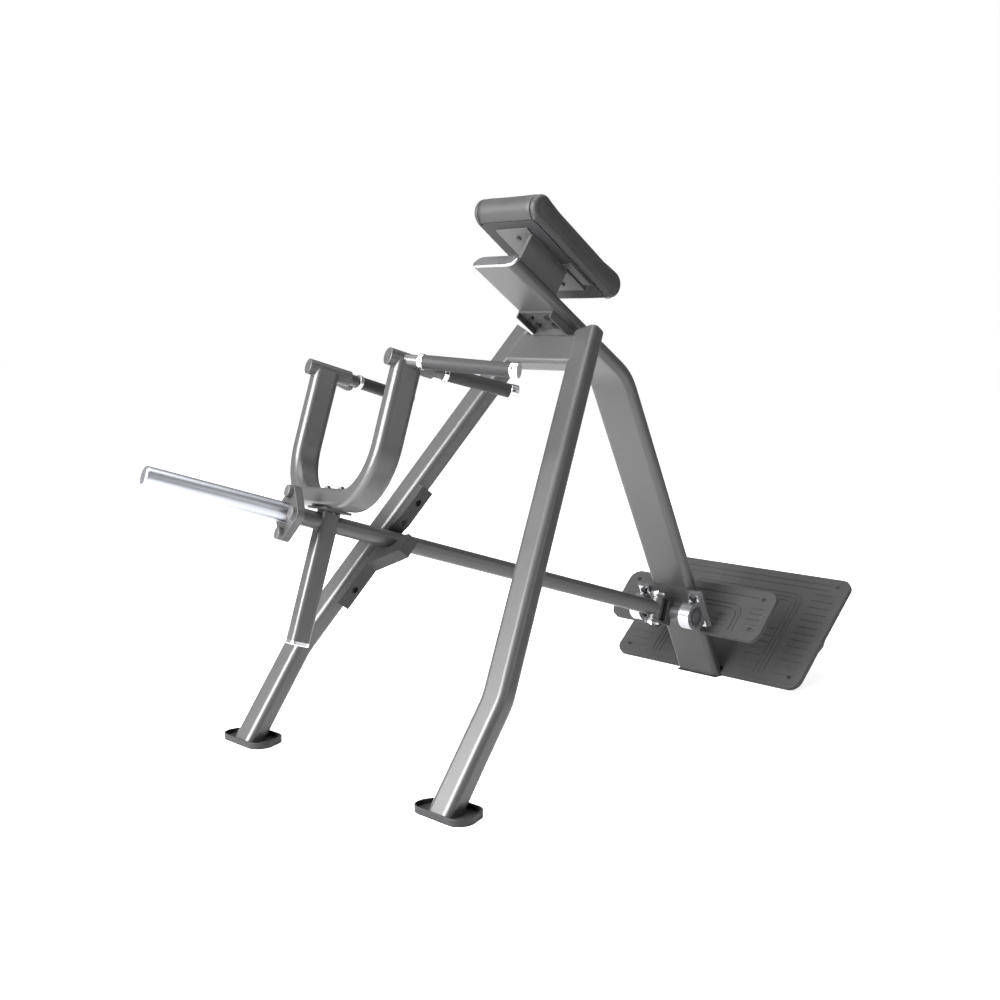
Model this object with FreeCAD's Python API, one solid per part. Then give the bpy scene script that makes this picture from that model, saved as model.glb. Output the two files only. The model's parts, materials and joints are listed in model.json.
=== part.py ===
import FreeCAD, Part
import math
import os

# Chest-supported incline lever row, millimetres, +Z up.
# Origin: floor point under the foot of the main spine. -X is the weight end,
# +Y is the side that carries the rack hook for the lever ("rack side").

V = FreeCAD.Vector

# ---- steel tube sizes -----------------------------------------------------
wall = 3.0
spine_width, spine_depth, spine_corner = 144.0, 38.0, 17.0
leg_width, leg_depth, leg_corner = 70.0, 50.0, 17.0
lever_dia = 44.0
lever_wall = 4.0
plate_thick = 6.0                 # every bolted or welded plate on the frame

# ---- spine: foot on the floor, kink, head that carries the chest pad -------
floor_pad_thick = 3.0
base_strip_thick = 5.0
floor_pad_length, floor_pad_width = 50.0, 140.0
base_strip_reach, base_strip_width = 230.0, 144.0
spine_lower_length = 995.4
spine_lower_lean = 25.47          # degrees from vertical, towards -X
spine_upper_length = 517.0
spine_upper_slope = 33.8          # degrees from horizontal
spine_bend_radius = 150.0
spine_head_cut = 35.0             # degrees above horizontal, slope of the cut end
head_cap_thick = 6.0

# ---- two splayed front legs in one leaning plane ---------------------------
leg_plane_x = -1367.6             # where the leg plane meets the floor
leg_plane_lean = 35.8             # degrees from vertical, towards +X
leg_foot_y = 366.0
leg_lower_length = 271.8          # along the plane, floor to kink
leg_upper_length = 985.0
leg_top_y = 107.3
leg_bend_radius = 150.0
leg_top_cut = 8.0                 # degrees, outer side left longer
leg_top_trim = 8.0                # leg end below its layout point beside the spine
foot_cup_height, foot_cup_floor, foot_cup_wall = 16.0, 5.0, 4.5
foot_cup_width, foot_cup_depth, foot_cup_rear = 160.0, 100.0, 118.0
foot_cup_shoulder = 42.0          # straight part of the cup's sides
foot_cup_corner = 32.0
foot_bolt_back = 49.0             # leg centre to the cup bolt

# ---- crossmember and saddle under the spine --------------------------------
cross_height, cross_depth, cross_corner = 88.0, 50.0, 12.0
cross_from_top = 69.0             # leg top to crossmember centre, along the leg plane
saddle_up, saddle_down, saddle_width = 96.0, 30.0, 120.0   # from the crossmember's middle
saddle_bolts_along, saddle_bolt_y = [-78.0, -44.0], 30.0
saddle_lip_thick, saddle_lip_height = 5.0, 14.0

# ---- chest pad -------------------------------------------------------------
pad_length, pad_width, pad_thick = 382.0, 220.0, 72.0
pad_edge_round = 12.0
pad_slope = 34.5                  # degrees from horizontal
pad_along = 132.4                 # pad centre from the spine head, along the upper spine
pad_rise = 134.5                  # pad mid plane above the upper spine's centre line
board_length, board_width, board_thick = 316.0, 192.0, 12.0
pad_web_length, pad_web_spread, pad_web_thick = 154.0, 106.0, 9.0
pad_rack_web_setback = 86.0       # the web on the rack side starts this much lower
pad_tab_start, pad_tab_end = 0.58, 0.92      # outer tab, in parts of the flange's length
pad_tab_gap, pad_tab_width = 12.0, 24.0
pad_web_offset = 33.0             # webs sit this far towards the head from the pad centre
pad_flange_length, pad_flange_width, pad_flange_thick = 256.0, 110.0, 4.0
pad_flange_offset = 6.0
pad_screw_dia, pad_screw_head = 6.0, 12.0

# ---- pivot: pitch axle across the spine, swing pin on the axle -------------
axle_x, axle_z = -170.1, 210.5
axle_dia = 30.0
axle_half_length = 106.0
axle_tube_dia = 44.0
block_inner_y, block_width = 72.0, 36.0
block_dia = 78.0
bearing_dia = 55.0
block_foot_length, block_foot_thick = 108.0, 10.0
mount_plate_length, mount_plate_width = 118.0, 236.0
block_bolt_spread = 86.0
running_gap = 0.05                # radial, shaft in bearing and pin in bush
end_gap = 1.0                     # beside each turning part
bolt_gap = 0.25                   # radial, bolts in their holes
pin_offset = 52.0                 # axle to swing pin
pin_dia = 20.0
barrel_dia, barrel_bore, barrel_height = 40.0, 26.0, 62.0
bush_length = 20.0
clevis_thick = 8.0
clevis_rear = 6.0                 # rear edge of the clevis ahead of the axle, clear of the plate
clevis_half_width = 25.0
pin_cap_dia, pin_cap_height = 46.0, 9.0
pin_cap_bolt_circle = 33.0

# ---- lever, racked in the hook at rest --------------------------------------
lever_pitch = 18.14               # degrees above horizontal at rest
lever_swing = 14.27               # degrees towards the rack side at rest
lever_lift = 25.0                 # degrees of pitch at which the lever hangs centred
lever_stop_plate = 1145.0         # swing pin to the back of the stop plate
stop_plate_thick = 22.0
stop_lobe_radius = 17.0
stop_lobe_offset = 53.0
bumper_dia, bumper_height = 32.0, 13.0
sleeve_dia, sleeve_length = 50.0, 364.0
sleeve_chamfer = 7.0

# ---- post and yoke on the lever ----------------------------------------------
post_along = 1057.0
post_width, post_corner = 50.0, 12.0
post_bottom = 300.0               # below the lever axis
post_cap_height = 10.0
yoke_flange_thick, yoke_flange_width = 6.0, 118.0
yoke_bolt_spread = 84.0
yoke_width, yoke_depth, yoke_corner = 70.0, 50.0, 17.0
yoke_base = 35.0                  # lever axis to the underside of the yoke
yoke_half_span = 240.0
yoke_bend_radius = 140.0
stub_height = 403.0
stub_dia, stub_wall = 42.0, 4.0
stub_ahead, stub_behind = 53.0, 65.0    # from the yoke's mid plane
close_splay, close_rise = 11.4, 1.4
close_neck, close_grip = 32.0, 160.0
wide_splay, wide_rise = 49.8, 3.7
wide_neck, wide_grip = 49.0, 216.0
wide_bar_ahead = 18.0             # yoke mid plane to the wide bar, along the stub
neck_dia = 30.0
grip_core_dia, grip_dia = 25.0, 34.0
grip_ring_dia, grip_ring_length = 38.0, 12.0
grip_cap_dia, grip_cap_length, grip_cap_end = 36.0, 20.0, 6.0
set_screw_dia = 6.0

# ---- rack hook on the leg ------------------------------------------------------
hook_low, hook_high = 147.0, 514.0      # along the leg from its kink
hook_web, hook_depth = 20.0, 39.0
hook_bolts_along = [198.0, 409.0, 472.0]
hook_bolt_head, hook_bolt_seat = 16.0, 6.0
hook_slot_gap = 0.6
hook_flare = 4.0                        # degrees

# ---- foot treads ------------------------------------------------------------------
tread_thick, tread_plate_thick = 14.0, 5.0
lower_tread_width, lower_tread_depth, lower_tread_slope = 672.0, 398.0, 42.8
lower_tread_x, lower_tread_z = -6.6, 11.6
upper_tread_width, upper_tread_depth, upper_tread_slope = 540.0, 169.0, 46.5
upper_tread_x, upper_tread_z = -112.2, 154.1
tread_corner = 34.0
tread_plate_inset = 12.0
tread_notch_gap = 1.0             # tread notch to the side of the spine
rib_thick, rib_spread = 8.0, 116.0
gusset_y, gusset_drop = 316.0, 26.0
gusset_from, gusset_to = 84.0, 246.0    # along the lower tread

M10_head, M10_head_height, M10_shank = 17.0, 6.4, 10.0


# ---------------------------------------------------------------------------
# small tools
# ---------------------------------------------------------------------------
def frame_at(origin, x_dir, z_dir):
    """Placement whose local x and z lie along the two given directions."""
    z = V(z_dir).normalize()
    y = z.cross(V(x_dir)).normalize()
    x = y.cross(z)
    m = FreeCAD.Matrix(x.x, y.x, z.x, origin.x,
                       x.y, y.y, z.y, origin.y,
                       x.z, y.z, z.z, origin.z,
                       0, 0, 0, 1)
    return FreeCAD.Placement(m)


def placed(shape, frame):
    """The shape carried from local coordinates into the given frame."""
    moved = shape.copy()
    moved.Placement = frame.multiply(shape.Placement)
    return moved


def point(frame, x, y, z):
    return frame.multVec(V(x, y, z))


def direction(frame, x, y, z):
    return frame.Rotation.multVec(V(x, y, z))


def box(x0, x1, y0, y1, z0, z1):
    return Part.makeBox(x1 - x0, y1 - y0, z1 - z0, V(x0, y0, z0))


def cyl(radius, start, end):
    axis = end - start
    return Part.makeCylinder(radius, axis.Length, start, axis)


def ring(outer, inner, start, end):
    return cyl(outer, start, end).cut(cyl(inner, start, end))


def rounded_rect(width, depth, corner, frame):
    """Closed wire: width along local x, depth along local y, in the frame's xy plane."""
    corner = min(corner, width / 2 - 0.05, depth / 2 - 0.05)
    a, b, r = width / 2, depth / 2, corner
    k = r * (1 - math.sqrt(0.5))
    edges = [
        Part.makeLine(V(-a + r, -b, 0), V(a - r, -b, 0)),
        Part.Arc(V(a - r, -b, 0), V(a - k, -b + k, 0), V(a, -b + r, 0)).toShape(),
        Part.makeLine(V(a, -b + r, 0), V(a, b - r, 0)),
        Part.Arc(V(a, b - r, 0), V(a - k, b - k, 0), V(a - r, b, 0)).toShape(),
        Part.makeLine(V(a - r, b, 0), V(-a + r, b, 0)),
        Part.Arc(V(-a + r, b, 0), V(-a + k, b - k, 0), V(-a, b - r, 0)).toShape(),
        Part.makeLine(V(-a, b - r, 0), V(-a, -b + r, 0)),
        Part.Arc(V(-a, -b + r, 0), V(-a + k, -b + k, 0), V(-a + r, -b, 0)).toShape(),
    ]
    return placed(Part.Wire(edges), frame)


def bend_path(points, radius):
    """Straight runs joined by tangent arcs of one radius."""
    edges = []
    start = points[0]
    for i in range(1, len(points) - 1):
        corner = points[i]
        back = (points[i - 1] - corner).normalize()
        ahead = (points[i + 1] - corner).normalize()
        half = back.getAngle(ahead) / 2
        set_back = radius / math.tan(half)
        enter = corner + back * set_back
        leave = corner + ahead * set_back
        middle = (back + ahead).normalize()
        centre = corner + middle * (radius / math.sin(half))
        edges.append(Part.makeLine(start, enter))
        edges.append(Part.Arc(enter, centre - middle * radius, leave).toShape())
        start = leave
    edges.append(Part.makeLine(start, points[-1]))
    return Part.Wire(edges)


def swept_section(points, radius, width_dir, width, depth, corner):
    """Solid bar of rounded rectangular section along a bent path."""
    path = bend_path(points, radius)
    start_dir = points[1] - points[0]
    profile = rounded_rect(width, depth, corner, frame_at(points[0], width_dir, start_dir))
    return path.makePipeShell([profile], True, False)


def half_space(origin, normal, size=3000.0):
    """A big block on the far side of a plane, to cut ends with."""
    side = V(0, 1, 0) if abs(V(normal).normalize().y) < 0.9 else V(1, 0, 0)
    return placed(box(-size, size, -size, size, 0, size), frame_at(origin, side, normal))


def hex_prism(across_flats, height, frame):
    radius = across_flats / math.sqrt(3)
    corners = [V(radius * math.cos(math.radians(60 * i)), radius * math.sin(math.radians(60 * i)), 0)
               for i in range(7)]
    return placed(Part.Face(Part.makePolygon(corners)).extrude(V(0, 0, height)), frame)


def hex_bolt(head_at, outward, x_dir, grip_length, nut=True):
    """Head outside, shank through the grip length, nut on the other side."""
    f = frame_at(head_at, x_dir, outward)
    body = hex_prism(M10_head, M10_head_height, f)
    tail = M10_head_height + 3 if nut else 0.0
    shank = cyl(M10_shank / 2, point(f, 0, 0, 0.5), point(f, 0, 0, -grip_length - tail))
    body = body.fuse(shank)
    if nut:
        nut_frame = frame_at(point(f, 0, 0, -grip_length - M10_head_height), x_dir, outward)
        body = body.fuse(hex_prism(M10_head, M10_head_height, nut_frame))
    return body.removeSplitter()


def prism(points, extrusion):
    return Part.Face(Part.makePolygon(points + [points[0]])).extrude(extrusion)


def export(name, shape):
    solids = shape.Solids
    result = solids[0] if len(solids) == 1 else Part.makeCompound(solids)
    if not result.isValid():
        print("invalid", name)
    result.exportStep("parts/" + name + ".step")
    print("%-26s solids %2d  volume %9.0f mm3" % (name, len(solids), result.Volume))


# ---------------------------------------------------------------------------
# reference frames of the design
# ---------------------------------------------------------------------------
def spine_points():
    lean = math.radians(spine_lower_lean)
    slope = math.radians(spine_upper_slope)
    foot = V(0, 0, 0)
    knee = V(-spine_lower_length * math.sin(lean), 0, spine_lower_length * math.cos(lean))
    head = knee + V(-spine_upper_length * math.cos(slope), 0, spine_upper_length * math.sin(slope))
    return foot, knee, head


FOOT, KNEE, HEAD = spine_points()
LOWER_UP = (KNEE - FOOT).normalize()
UPPER_DOWN = (KNEE - HEAD).normalize()
Y = V(0, 1, 0)
# x down the upper spine, z away from its underside (towards the user)
UPPER = frame_at(HEAD, UPPER_DOWN, UPPER_DOWN.cross(Y))
# x up the lower spine, z out of its front face
LOWER = frame_at(FOOT, LOWER_UP, Y.cross(LOWER_UP) * -1)


def leg_point(slope_distance, y):
    lean = math.radians(leg_plane_lean)
    return V(leg_plane_x + slope_distance * math.sin(lean), y, slope_distance * math.cos(lean))


LEG_FRONT = V(-math.cos(math.radians(leg_plane_lean)), 0, math.sin(math.radians(leg_plane_lean)))


def leg_frame(side):
    """Origin at the leg's kink: x up the leg, y towards +Y, z out of the front face."""
    kink = leg_point(leg_lower_length, side * leg_foot_y)
    top = leg_point(leg_lower_length + leg_upper_length, side * leg_top_y)
    return frame_at(kink, top - kink, LEG_FRONT)


PITCH = math.radians(lever_pitch)
SWING = math.radians(lever_swing)
AXLE = V(axle_x, 0, axle_z)
PIN_UP = V(math.sin(PITCH), 0, math.cos(PITCH))
CRADLE_OUT = V(-math.cos(PITCH), 0, math.sin(PITCH))
PIN = AXLE + CRADLE_OUT * pin_offset
LEVER_OUT = CRADLE_OUT * math.cos(SWING) + Y * math.sin(SWING)
# x out along the lever, y towards the open side, z up the swing pin
LEVER = frame_at(PIN, LEVER_OUT, PIN_UP)
# x from the axle to the pin, z up the swing pin
CRADLE = frame_at(AXLE, CRADLE_OUT, PIN_UP)
SIDES = {"rack_side": 1, "open_side": -1}


# ---------------------------------------------------------------------------
# spine, legs, crossmember
# ---------------------------------------------------------------------------
STRIP_TOP = floor_pad_thick + base_strip_thick


def spine_outline(shrink=0.0):
    low = FOOT - LOWER_UP * 40
    high = HEAD - UPPER_DOWN * 40
    return swept_section([low, KNEE, high], spine_bend_radius, Y,
                         spine_width - 2 * shrink, spine_depth - 2 * shrink,
                         spine_corner - shrink)


def head_cut_frame(offset=0.0):
    """z points up out of the spine's cut head."""
    slope = math.radians(spine_head_cut)
    along_cut = V(math.cos(slope), 0, math.sin(slope))
    outward = Y.cross(along_cut)
    if outward.dot(UPPER_DOWN) > 0:
        outward = outward * -1
    return frame_at(HEAD + outward * offset, Y, outward)


def trim_spine(shape):
    shape = shape.cut(box(-400, 400, -400, 400, -400, floor_pad_thick))
    head = head_cut_frame()
    return shape.cut(half_space(head.Base, direction(head, 0, 0, 1)))


def leg_outline(side, shrink=0.0, top_shrink=0.0):
    low = leg_point(-60, side * leg_foot_y)
    kink = leg_point(leg_lower_length, side * leg_foot_y)
    f = leg_frame(side)
    high = point(f, leg_run() + 80, 0, 0)
    bar = swept_section([low, kink, high], leg_bend_radius, Y,
                        leg_width - 2 * shrink, leg_depth - 2 * shrink, leg_corner - shrink)
    bar = bar.cut(box(-2000, 0, -900, 900, -400, foot_cup_floor))
    tilt = math.radians(leg_top_cut)
    outward = direction(f, math.cos(tilt), -side * math.sin(tilt), 0)
    return bar.cut(half_space(point(f, leg_run() - leg_top_trim - top_shrink, 0, 0), outward))


def leg_run():
    """Kink to leg top, along the leg."""
    return math.hypot(leg_upper_length, leg_foot_y - leg_top_y)


def leg_tube(side):
    outer = leg_outline(side)
    inner = leg_outline(side, wall, wall)
    return outer.cut(inner)


def cross_frame():
    at = leg_point(leg_lower_length + leg_upper_length - cross_from_top, 0)
    return frame_at(at, LEG_FRONT, Y)


def crossmember(legs):
    f = cross_frame()
    bars = []
    for shrink in (0.0, wall):
        f_end = frame_at(point(f, 0, 0, -160), LEG_FRONT, Y)
        profile = rounded_rect(cross_depth - 2 * shrink, cross_height - 2 * shrink,
                               cross_corner - shrink, f_end)
        bars.append(Part.Face(profile).extrude(Y * 320))
    outer = bars[0]
    for leg in legs:
        outer = outer.cut(leg)
    outer = max(outer.Solids, key=lambda solid: solid.Volume)
    inner = bars[1]
    tube = outer.cut(inner)
    return max(tube.Solids, key=lambda solid: solid.Volume)


def saddle_frame():
    """On the spine's underside above the crossmember: x down the spine, z down and away."""
    cross_at = cross_frame().Base
    along = (cross_at - HEAD).dot(UPPER_DOWN)
    return frame_at(point(UPPER, along, 0, -spine_depth / 2), UPPER_DOWN,
                    direction(UPPER, 0, 0, -1))


def saddle_drop():
    """Spine underside to the top face of the crossmember, at the crossmember's middle."""
    f = saddle_frame()
    top = point(cross_frame(), 0, cross_height / 2, 0)
    other = point(cross_frame(), 0, -cross_height / 2, 0)
    best = top if top.z > other.z else other
    return (best - f.Base).dot(direction(f, 0, 0, 1))


def saddle_bolt_places():
    return [(a, b) for a in saddle_bolts_along for b in (-saddle_bolt_y, saddle_bolt_y)]


def saddle_bracket(cross_solid):
    f = saddle_frame()
    drop = saddle_drop()
    top = placed(box(-saddle_up, saddle_down, -saddle_width / 2, saddle_width / 2,
                     0, plate_thick), f)
    core = placed(box(-20, 20, -saddle_width / 2, saddle_width / 2, 0, drop + 6), f)
    body = top.fuse(core)
    for side in (1, -1):
        outer = side * saddle_width / 2
        inner = outer - side * saddle_lip_thick
        lip = box(-saddle_up, saddle_down, min(outer, inner), max(outer, inner),
                  plate_thick - 1, plate_thick + saddle_lip_height)
        body = body.fuse(placed(lip, f))
    body = body.cut(cross_solid)
    for a, b in saddle_bolt_places():
        body = body.cut(cyl(M10_shank / 2 + bolt_gap, point(f, a, b, -2), point(f, a, b, 20)))
    return max(body.removeSplitter().Solids, key=lambda solid: solid.Volume)


def saddle_bolts():
    f = saddle_frame()
    bolts = []
    for a, b in saddle_bolt_places():
        bolts.append(hex_bolt(point(f, a, b, plate_thick), direction(f, 0, 0, 1),
                              direction(f, 1, 0, 0), plate_thick + wall, nut=True))
    return Part.makeCompound(bolts)


def head_cap():
    f = head_cut_frame()
    cut = math.radians(spine_head_cut + spine_upper_slope)
    stretched = spine_depth / math.sin(cut)
    outer = rounded_rect(spine_width, stretched, spine_corner, f)
    cap = Part.Face(outer).extrude(direction(f, 0, 0, 1) * head_cap_thick)
    rim = [edge for edge in cap.Edges
           if all(abs((v.Point - f.Base).dot(direction(f, 0, 0, 1)) - head_cap_thick) < 0.1
                  for v in edge.Vertexes)]
    return cap.makeFillet(2.0, rim)


# ---------------------------------------------------------------------------
# feet
# ---------------------------------------------------------------------------
def foot_cup(side):
    w, d, r = foot_cup_width / 2, foot_cup_depth, foot_cup_rear / 2
    front = leg_point(foot_cup_floor / math.cos(math.radians(leg_plane_lean)), 0).x
    front -= leg_depth / 2 / math.cos(math.radians(leg_plane_lean)) + foot_cup_wall + 0.5
    y0 = side * leg_foot_y

    def outline(inset, corner):
        pts = [V(front + inset, y0 - w + inset, 0), V(front + foot_cup_shoulder, y0 - w + inset, 0),
               V(front + d - inset, y0 - r + inset, 0), V(front + d - inset, y0 + r - inset, 0),
               V(front + foot_cup_shoulder, y0 + w - inset, 0), V(front + inset, y0 + w - inset, 0)]
        solid = prism(pts, V(0, 0, 60))
        upright = [e for e in solid.Edges
                   if abs(e.Vertexes[0].X - e.Vertexes[1].X) < 0.01
                   and abs(e.Vertexes[0].Y - e.Vertexes[1].Y) < 0.01]
        return solid.makeFillet(corner, upright)

    cup = outline(0.0, foot_cup_corner).common(box(-2000, 0, -900, 900, 0, foot_cup_height))
    hollow = outline(foot_cup_wall, foot_cup_corner - foot_cup_wall)
    hollow.translate(V(0, 0, foot_cup_floor))
    cup = cup.cut(hollow)
    rim = [e for e in cup.Edges if all(abs(v.Z - foot_cup_height) < 0.1 for v in e.Vertexes)]
    cup = cup.makeFillet(2.0, rim)
    bx, by = foot_bolt_at(side)
    return cup.cut(cyl(M10_shank / 2 + bolt_gap, V(bx, by, -5), V(bx, by, 40)))


def foot_bolt_at(side):
    at = leg_point(foot_cup_floor / math.cos(math.radians(leg_plane_lean)), 0)
    return at.x + foot_bolt_back, side * leg_foot_y


def foot_bolts():
    bolts = []
    for side in SIDES.values():
        bx, by = foot_bolt_at(side)
        bolts.append(hex_bolt(V(bx, by, foot_cup_floor), V(0, 0, 1), V(1, 0, 0),
                              foot_cup_floor - 1.5, nut=False))
    return Part.makeCompound(bolts)


# ---------------------------------------------------------------------------
# chest pad and its carrier
# ---------------------------------------------------------------------------
def pad_frame():
    """Pad centre: x down the pad, z out of its face."""
    slope = math.radians(pad_slope)
    down = V(math.cos(slope), 0, -math.sin(slope))
    return frame_at(point(UPPER, pad_along, 0, pad_rise), down, down.cross(Y))


def chest_pad():
    f = pad_frame()
    side_frame = frame_at(point(f, 0, -pad_width / 2, 0), direction(f, 1, 0, 0),
                          direction(f, 0, 1, 0))
    profile = rounded_rect(pad_length, pad_thick, pad_thick / 2 - 0.1, side_frame)
    body = Part.Face(profile).extrude(direction(f, 0, 1, 0) * pad_width)
    rims = [e for e in body.Edges
            if len({round((v.Point - f.Base).dot(Y), 2) for v in e.Vertexes}) == 1]
    body = body.makeFillet(pad_edge_round, rims)
    return body.cut(pad_board_blank(f, board_thick + 20, 0.0))


def pad_board_blank(f, thick, lift):
    """The board lies let into the back of the pad, flush with it."""
    back = -pad_thick / 2
    f_back = frame_at(point(f, 0, 0, back - thick + board_thick + lift),
                      direction(f, 1, 0, 0), direction(f, 0, 0, 1))
    wire = rounded_rect(board_length, board_width, 18.0, f_back)
    return Part.Face(wire).extrude(direction(f, 0, 0, 1) * thick)


def pad_screw_places():
    return [(-101.0, 0.0), (94.0, 0.0)]


def pad_board():
    f = pad_frame()
    board = pad_board_blank(f, board_thick, 0.0)
    back = -pad_thick / 2
    for a, b in pad_screw_places():
        board = board.cut(cyl(pad_screw_dia / 2, point(f, a, b, back - 2), point(f, a, b, back + 8)))
    return board


def pad_bracket(spine_solid):
    f = pad_frame()
    back = -pad_thick / 2
    a0 = -pad_flange_length / 2 - pad_flange_offset
    half_w = pad_flange_width / 2
    flange = placed(box(a0, a0 + pad_flange_length, -half_w, half_w,
                        back - pad_flange_thick, back), f)
    w0 = -pad_web_length / 2 - pad_web_offset
    for edge in (1, -1):
        outer = edge * pad_web_spread / 2
        inner = outer - edge * pad_web_thick
        start = w0 + (pad_rack_web_setback if edge > 0 else 0.0)
        web = placed(box(start, w0 + pad_web_length, min(outer, inner), max(outer, inner),
                         -pad_rise, back - 1), f)
        flange = flange.fuse(web)
    tab0 = a0 + pad_tab_start * pad_flange_length
    tab1 = a0 + pad_tab_end * pad_flange_length
    tab_y = -half_w - pad_tab_gap
    flange = flange.fuse(placed(box(tab0, tab1, tab_y - pad_tab_width, tab_y,
                                    back - pad_flange_thick, back), f))
    flange = flange.fuse(placed(box(tab0, tab0 + 14, tab_y - 1, -half_w + 1,
                                    back - pad_flange_thick, back), f))
    foot = placed(box(w0, w0 + pad_web_length, -pad_web_spread / 2, pad_web_spread / 2,
                      -pad_rise, -pad_rise + spine_depth / 2 + 12), f)
    flange = flange.fuse(foot)
    for a, b in pad_screw_places():
        flange = flange.cut(cyl(pad_screw_dia / 2 + bolt_gap,
                                point(f, a, b, back - 20), point(f, a, b, back + 4)))
    flange = flange.cut(spine_solid)
    return max(flange.Solids, key=lambda solid: solid.Volume).removeSplitter()


def pad_screws():
    f = pad_frame()
    back = -pad_thick / 2 - pad_flange_thick
    screws = []
    for a, b in pad_screw_places():
        head = cyl(pad_screw_head / 2, point(f, a, b, back), point(f, a, b, back - 4))
        shank = cyl(pad_screw_dia / 2, point(f, a, b, back - 1),
                    point(f, a, b, back + pad_flange_thick + 8))
        screws.append(head.fuse(shank).removeSplitter())
    return Part.makeCompound(screws)


# ---------------------------------------------------------------------------
# axle bearings on the spine
# ---------------------------------------------------------------------------
AXLE_ALONG = (AXLE - FOOT).dot(LOWER_UP)
AXLE_OUT = (AXLE - FOOT).dot(direction(LOWER, 0, 0, 1))
PLATE_FACE = spine_depth / 2 + plate_thick


def block_bolt_places(side):
    y = side * (block_inner_y + block_width / 2)
    return [(AXLE_ALONG + k * block_bolt_spread / 2, y) for k in (-1, 1)]


def bearing_mount_plate():
    half = mount_plate_length / 2
    w = mount_plate_width / 2
    plate = placed(box(AXLE_ALONG - half, AXLE_ALONG + half, -w, w, spine_depth / 2, PLATE_FACE),
                   LOWER)
    upright = [e for e in plate.Edges
               if abs(abs((e.Vertexes[0].Point - e.Vertexes[1].Point).dot(
                   direction(LOWER, 0, 0, 1))) - plate_thick) < 0.01]
    plate = plate.makeFillet(10.0, upright)
    for side in (1, -1):
        for a, b in block_bolt_places(side):
            plate = plate.cut(cyl(M10_shank / 2 + bolt_gap,
                                  point(LOWER, a, b, spine_depth / 2 - 5),
                                  point(LOWER, a, b, PLATE_FACE + 5)))
    return plate


def bearing_block(side):
    y0 = side * block_inner_y
    y1 = side * (block_inner_y + block_width)
    lo, hi = min(y0, y1), max(y0, y1)
    half = block_foot_length / 2
    foot = placed(box(AXLE_ALONG - half, AXLE_ALONG + half, lo, hi,
                      PLATE_FACE, PLATE_FACE + block_foot_thick), LOWER)
    neck = placed(box(AXLE_ALONG - block_dia / 2 + 6, AXLE_ALONG + block_dia / 2 - 6, lo, hi,
                      PLATE_FACE, AXLE_OUT), LOWER)
    housing = cyl(block_dia / 2, V(axle_x, lo, axle_z), V(axle_x, hi, axle_z))
    body = foot.fuse([neck, housing])
    body = body.cut(placed(box(AXLE_ALONG - 90, AXLE_ALONG + 90, -300, 300,
                               PLATE_FACE - 60, PLATE_FACE), LOWER))
    body = body.cut(cyl(bearing_dia / 2, V(axle_x, lo - 5, axle_z), V(axle_x, hi + 5, axle_z)))
    for a, b in block_bolt_places(side):
        body = body.cut(cyl(M10_shank / 2 + bolt_gap, point(LOWER, a, b, PLATE_FACE - 5),
                            point(LOWER, a, b, PLATE_FACE + 14)))
    return max(body.removeSplitter().Solids, key=lambda solid: solid.Volume)


def axle_bearing(side):
    y0 = side * (block_inner_y + 2)
    y1 = side * (block_inner_y + block_width - 2)
    return ring(bearing_dia / 2, axle_dia / 2 + running_gap,
                V(axle_x, y0, axle_z), V(axle_x, y1, axle_z))


def block_bolts():
    bolts = []
    for side in (1, -1):
        for a, b in block_bolt_places(side):
            bolts.append(hex_bolt(point(LOWER, a, b, PLATE_FACE + block_foot_thick),
                                  direction(LOWER, 0, 0, 1), direction(LOWER, 1, 0, 0),
                                  block_foot_thick + plate_thick, nut=True))
    return Part.makeCompound(bolts)


# ---------------------------------------------------------------------------
# cradle: turns on the axle and carries the swing pin
# ---------------------------------------------------------------------------
CLEVIS_INNER = barrel_height / 2 + end_gap
CLEVIS_OUTER = CLEVIS_INNER + clevis_thick


def axle_shaft():
    return cyl(axle_dia / 2, V(axle_x, -axle_half_length, axle_z),
               V(axle_x, axle_half_length, axle_z))


def axle_tube():
    half = block_inner_y - end_gap
    return ring(axle_tube_dia / 2, axle_dia / 2, V(axle_x, -half, axle_z), V(axle_x, half, axle_z))


def pin_cap_bolt_places():
    r = pin_cap_bolt_circle / 2
    return [(pin_offset + r * math.cos(math.radians(45 + 90 * i)),
             r * math.sin(math.radians(45 + 90 * i))) for i in range(4)]


def swing_clevis():
    cheeks = []
    for low in (CLEVIS_INNER, -CLEVIS_OUTER):
        cheek = placed(box(clevis_rear, pin_offset, -clevis_half_width, clevis_half_width,
                           low, low + clevis_thick), CRADLE)
        nose = cyl(clevis_half_width, point(CRADLE, pin_offset, 0, low),
                   point(CRADLE, pin_offset, 0, low + clevis_thick))
        cheeks.append(cheek.fuse(nose))
    web_end = pin_offset - barrel_dia / 2 - 5.0
    web = placed(box(clevis_rear, web_end, -clevis_half_width, clevis_half_width,
                     -CLEVIS_INNER - 1, CLEVIS_INNER + 1), CRADLE)
    body = cheeks[0].fuse([cheeks[1], web])
    body = body.cut(cyl(axle_tube_dia / 2, V(axle_x, -60, axle_z), V(axle_x, 60, axle_z)))
    body = body.cut(cyl(pin_dia / 2, point(CRADLE, pin_offset, 0, -80),
                        point(CRADLE, pin_offset, 0, 80)))
    for a, b in pin_cap_bolt_places():
        body = body.cut(cyl(2.5, point(CRADLE, a, b, -80), point(CRADLE, a, b, 80)))
    body = body.removeSplitter()
    return max(body.Solids, key=lambda solid: solid.Volume)


def king_pin():
    return cyl(pin_dia / 2, point(CRADLE, pin_offset, 0, -CLEVIS_OUTER),
               point(CRADLE, pin_offset, 0, CLEVIS_OUTER))


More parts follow.
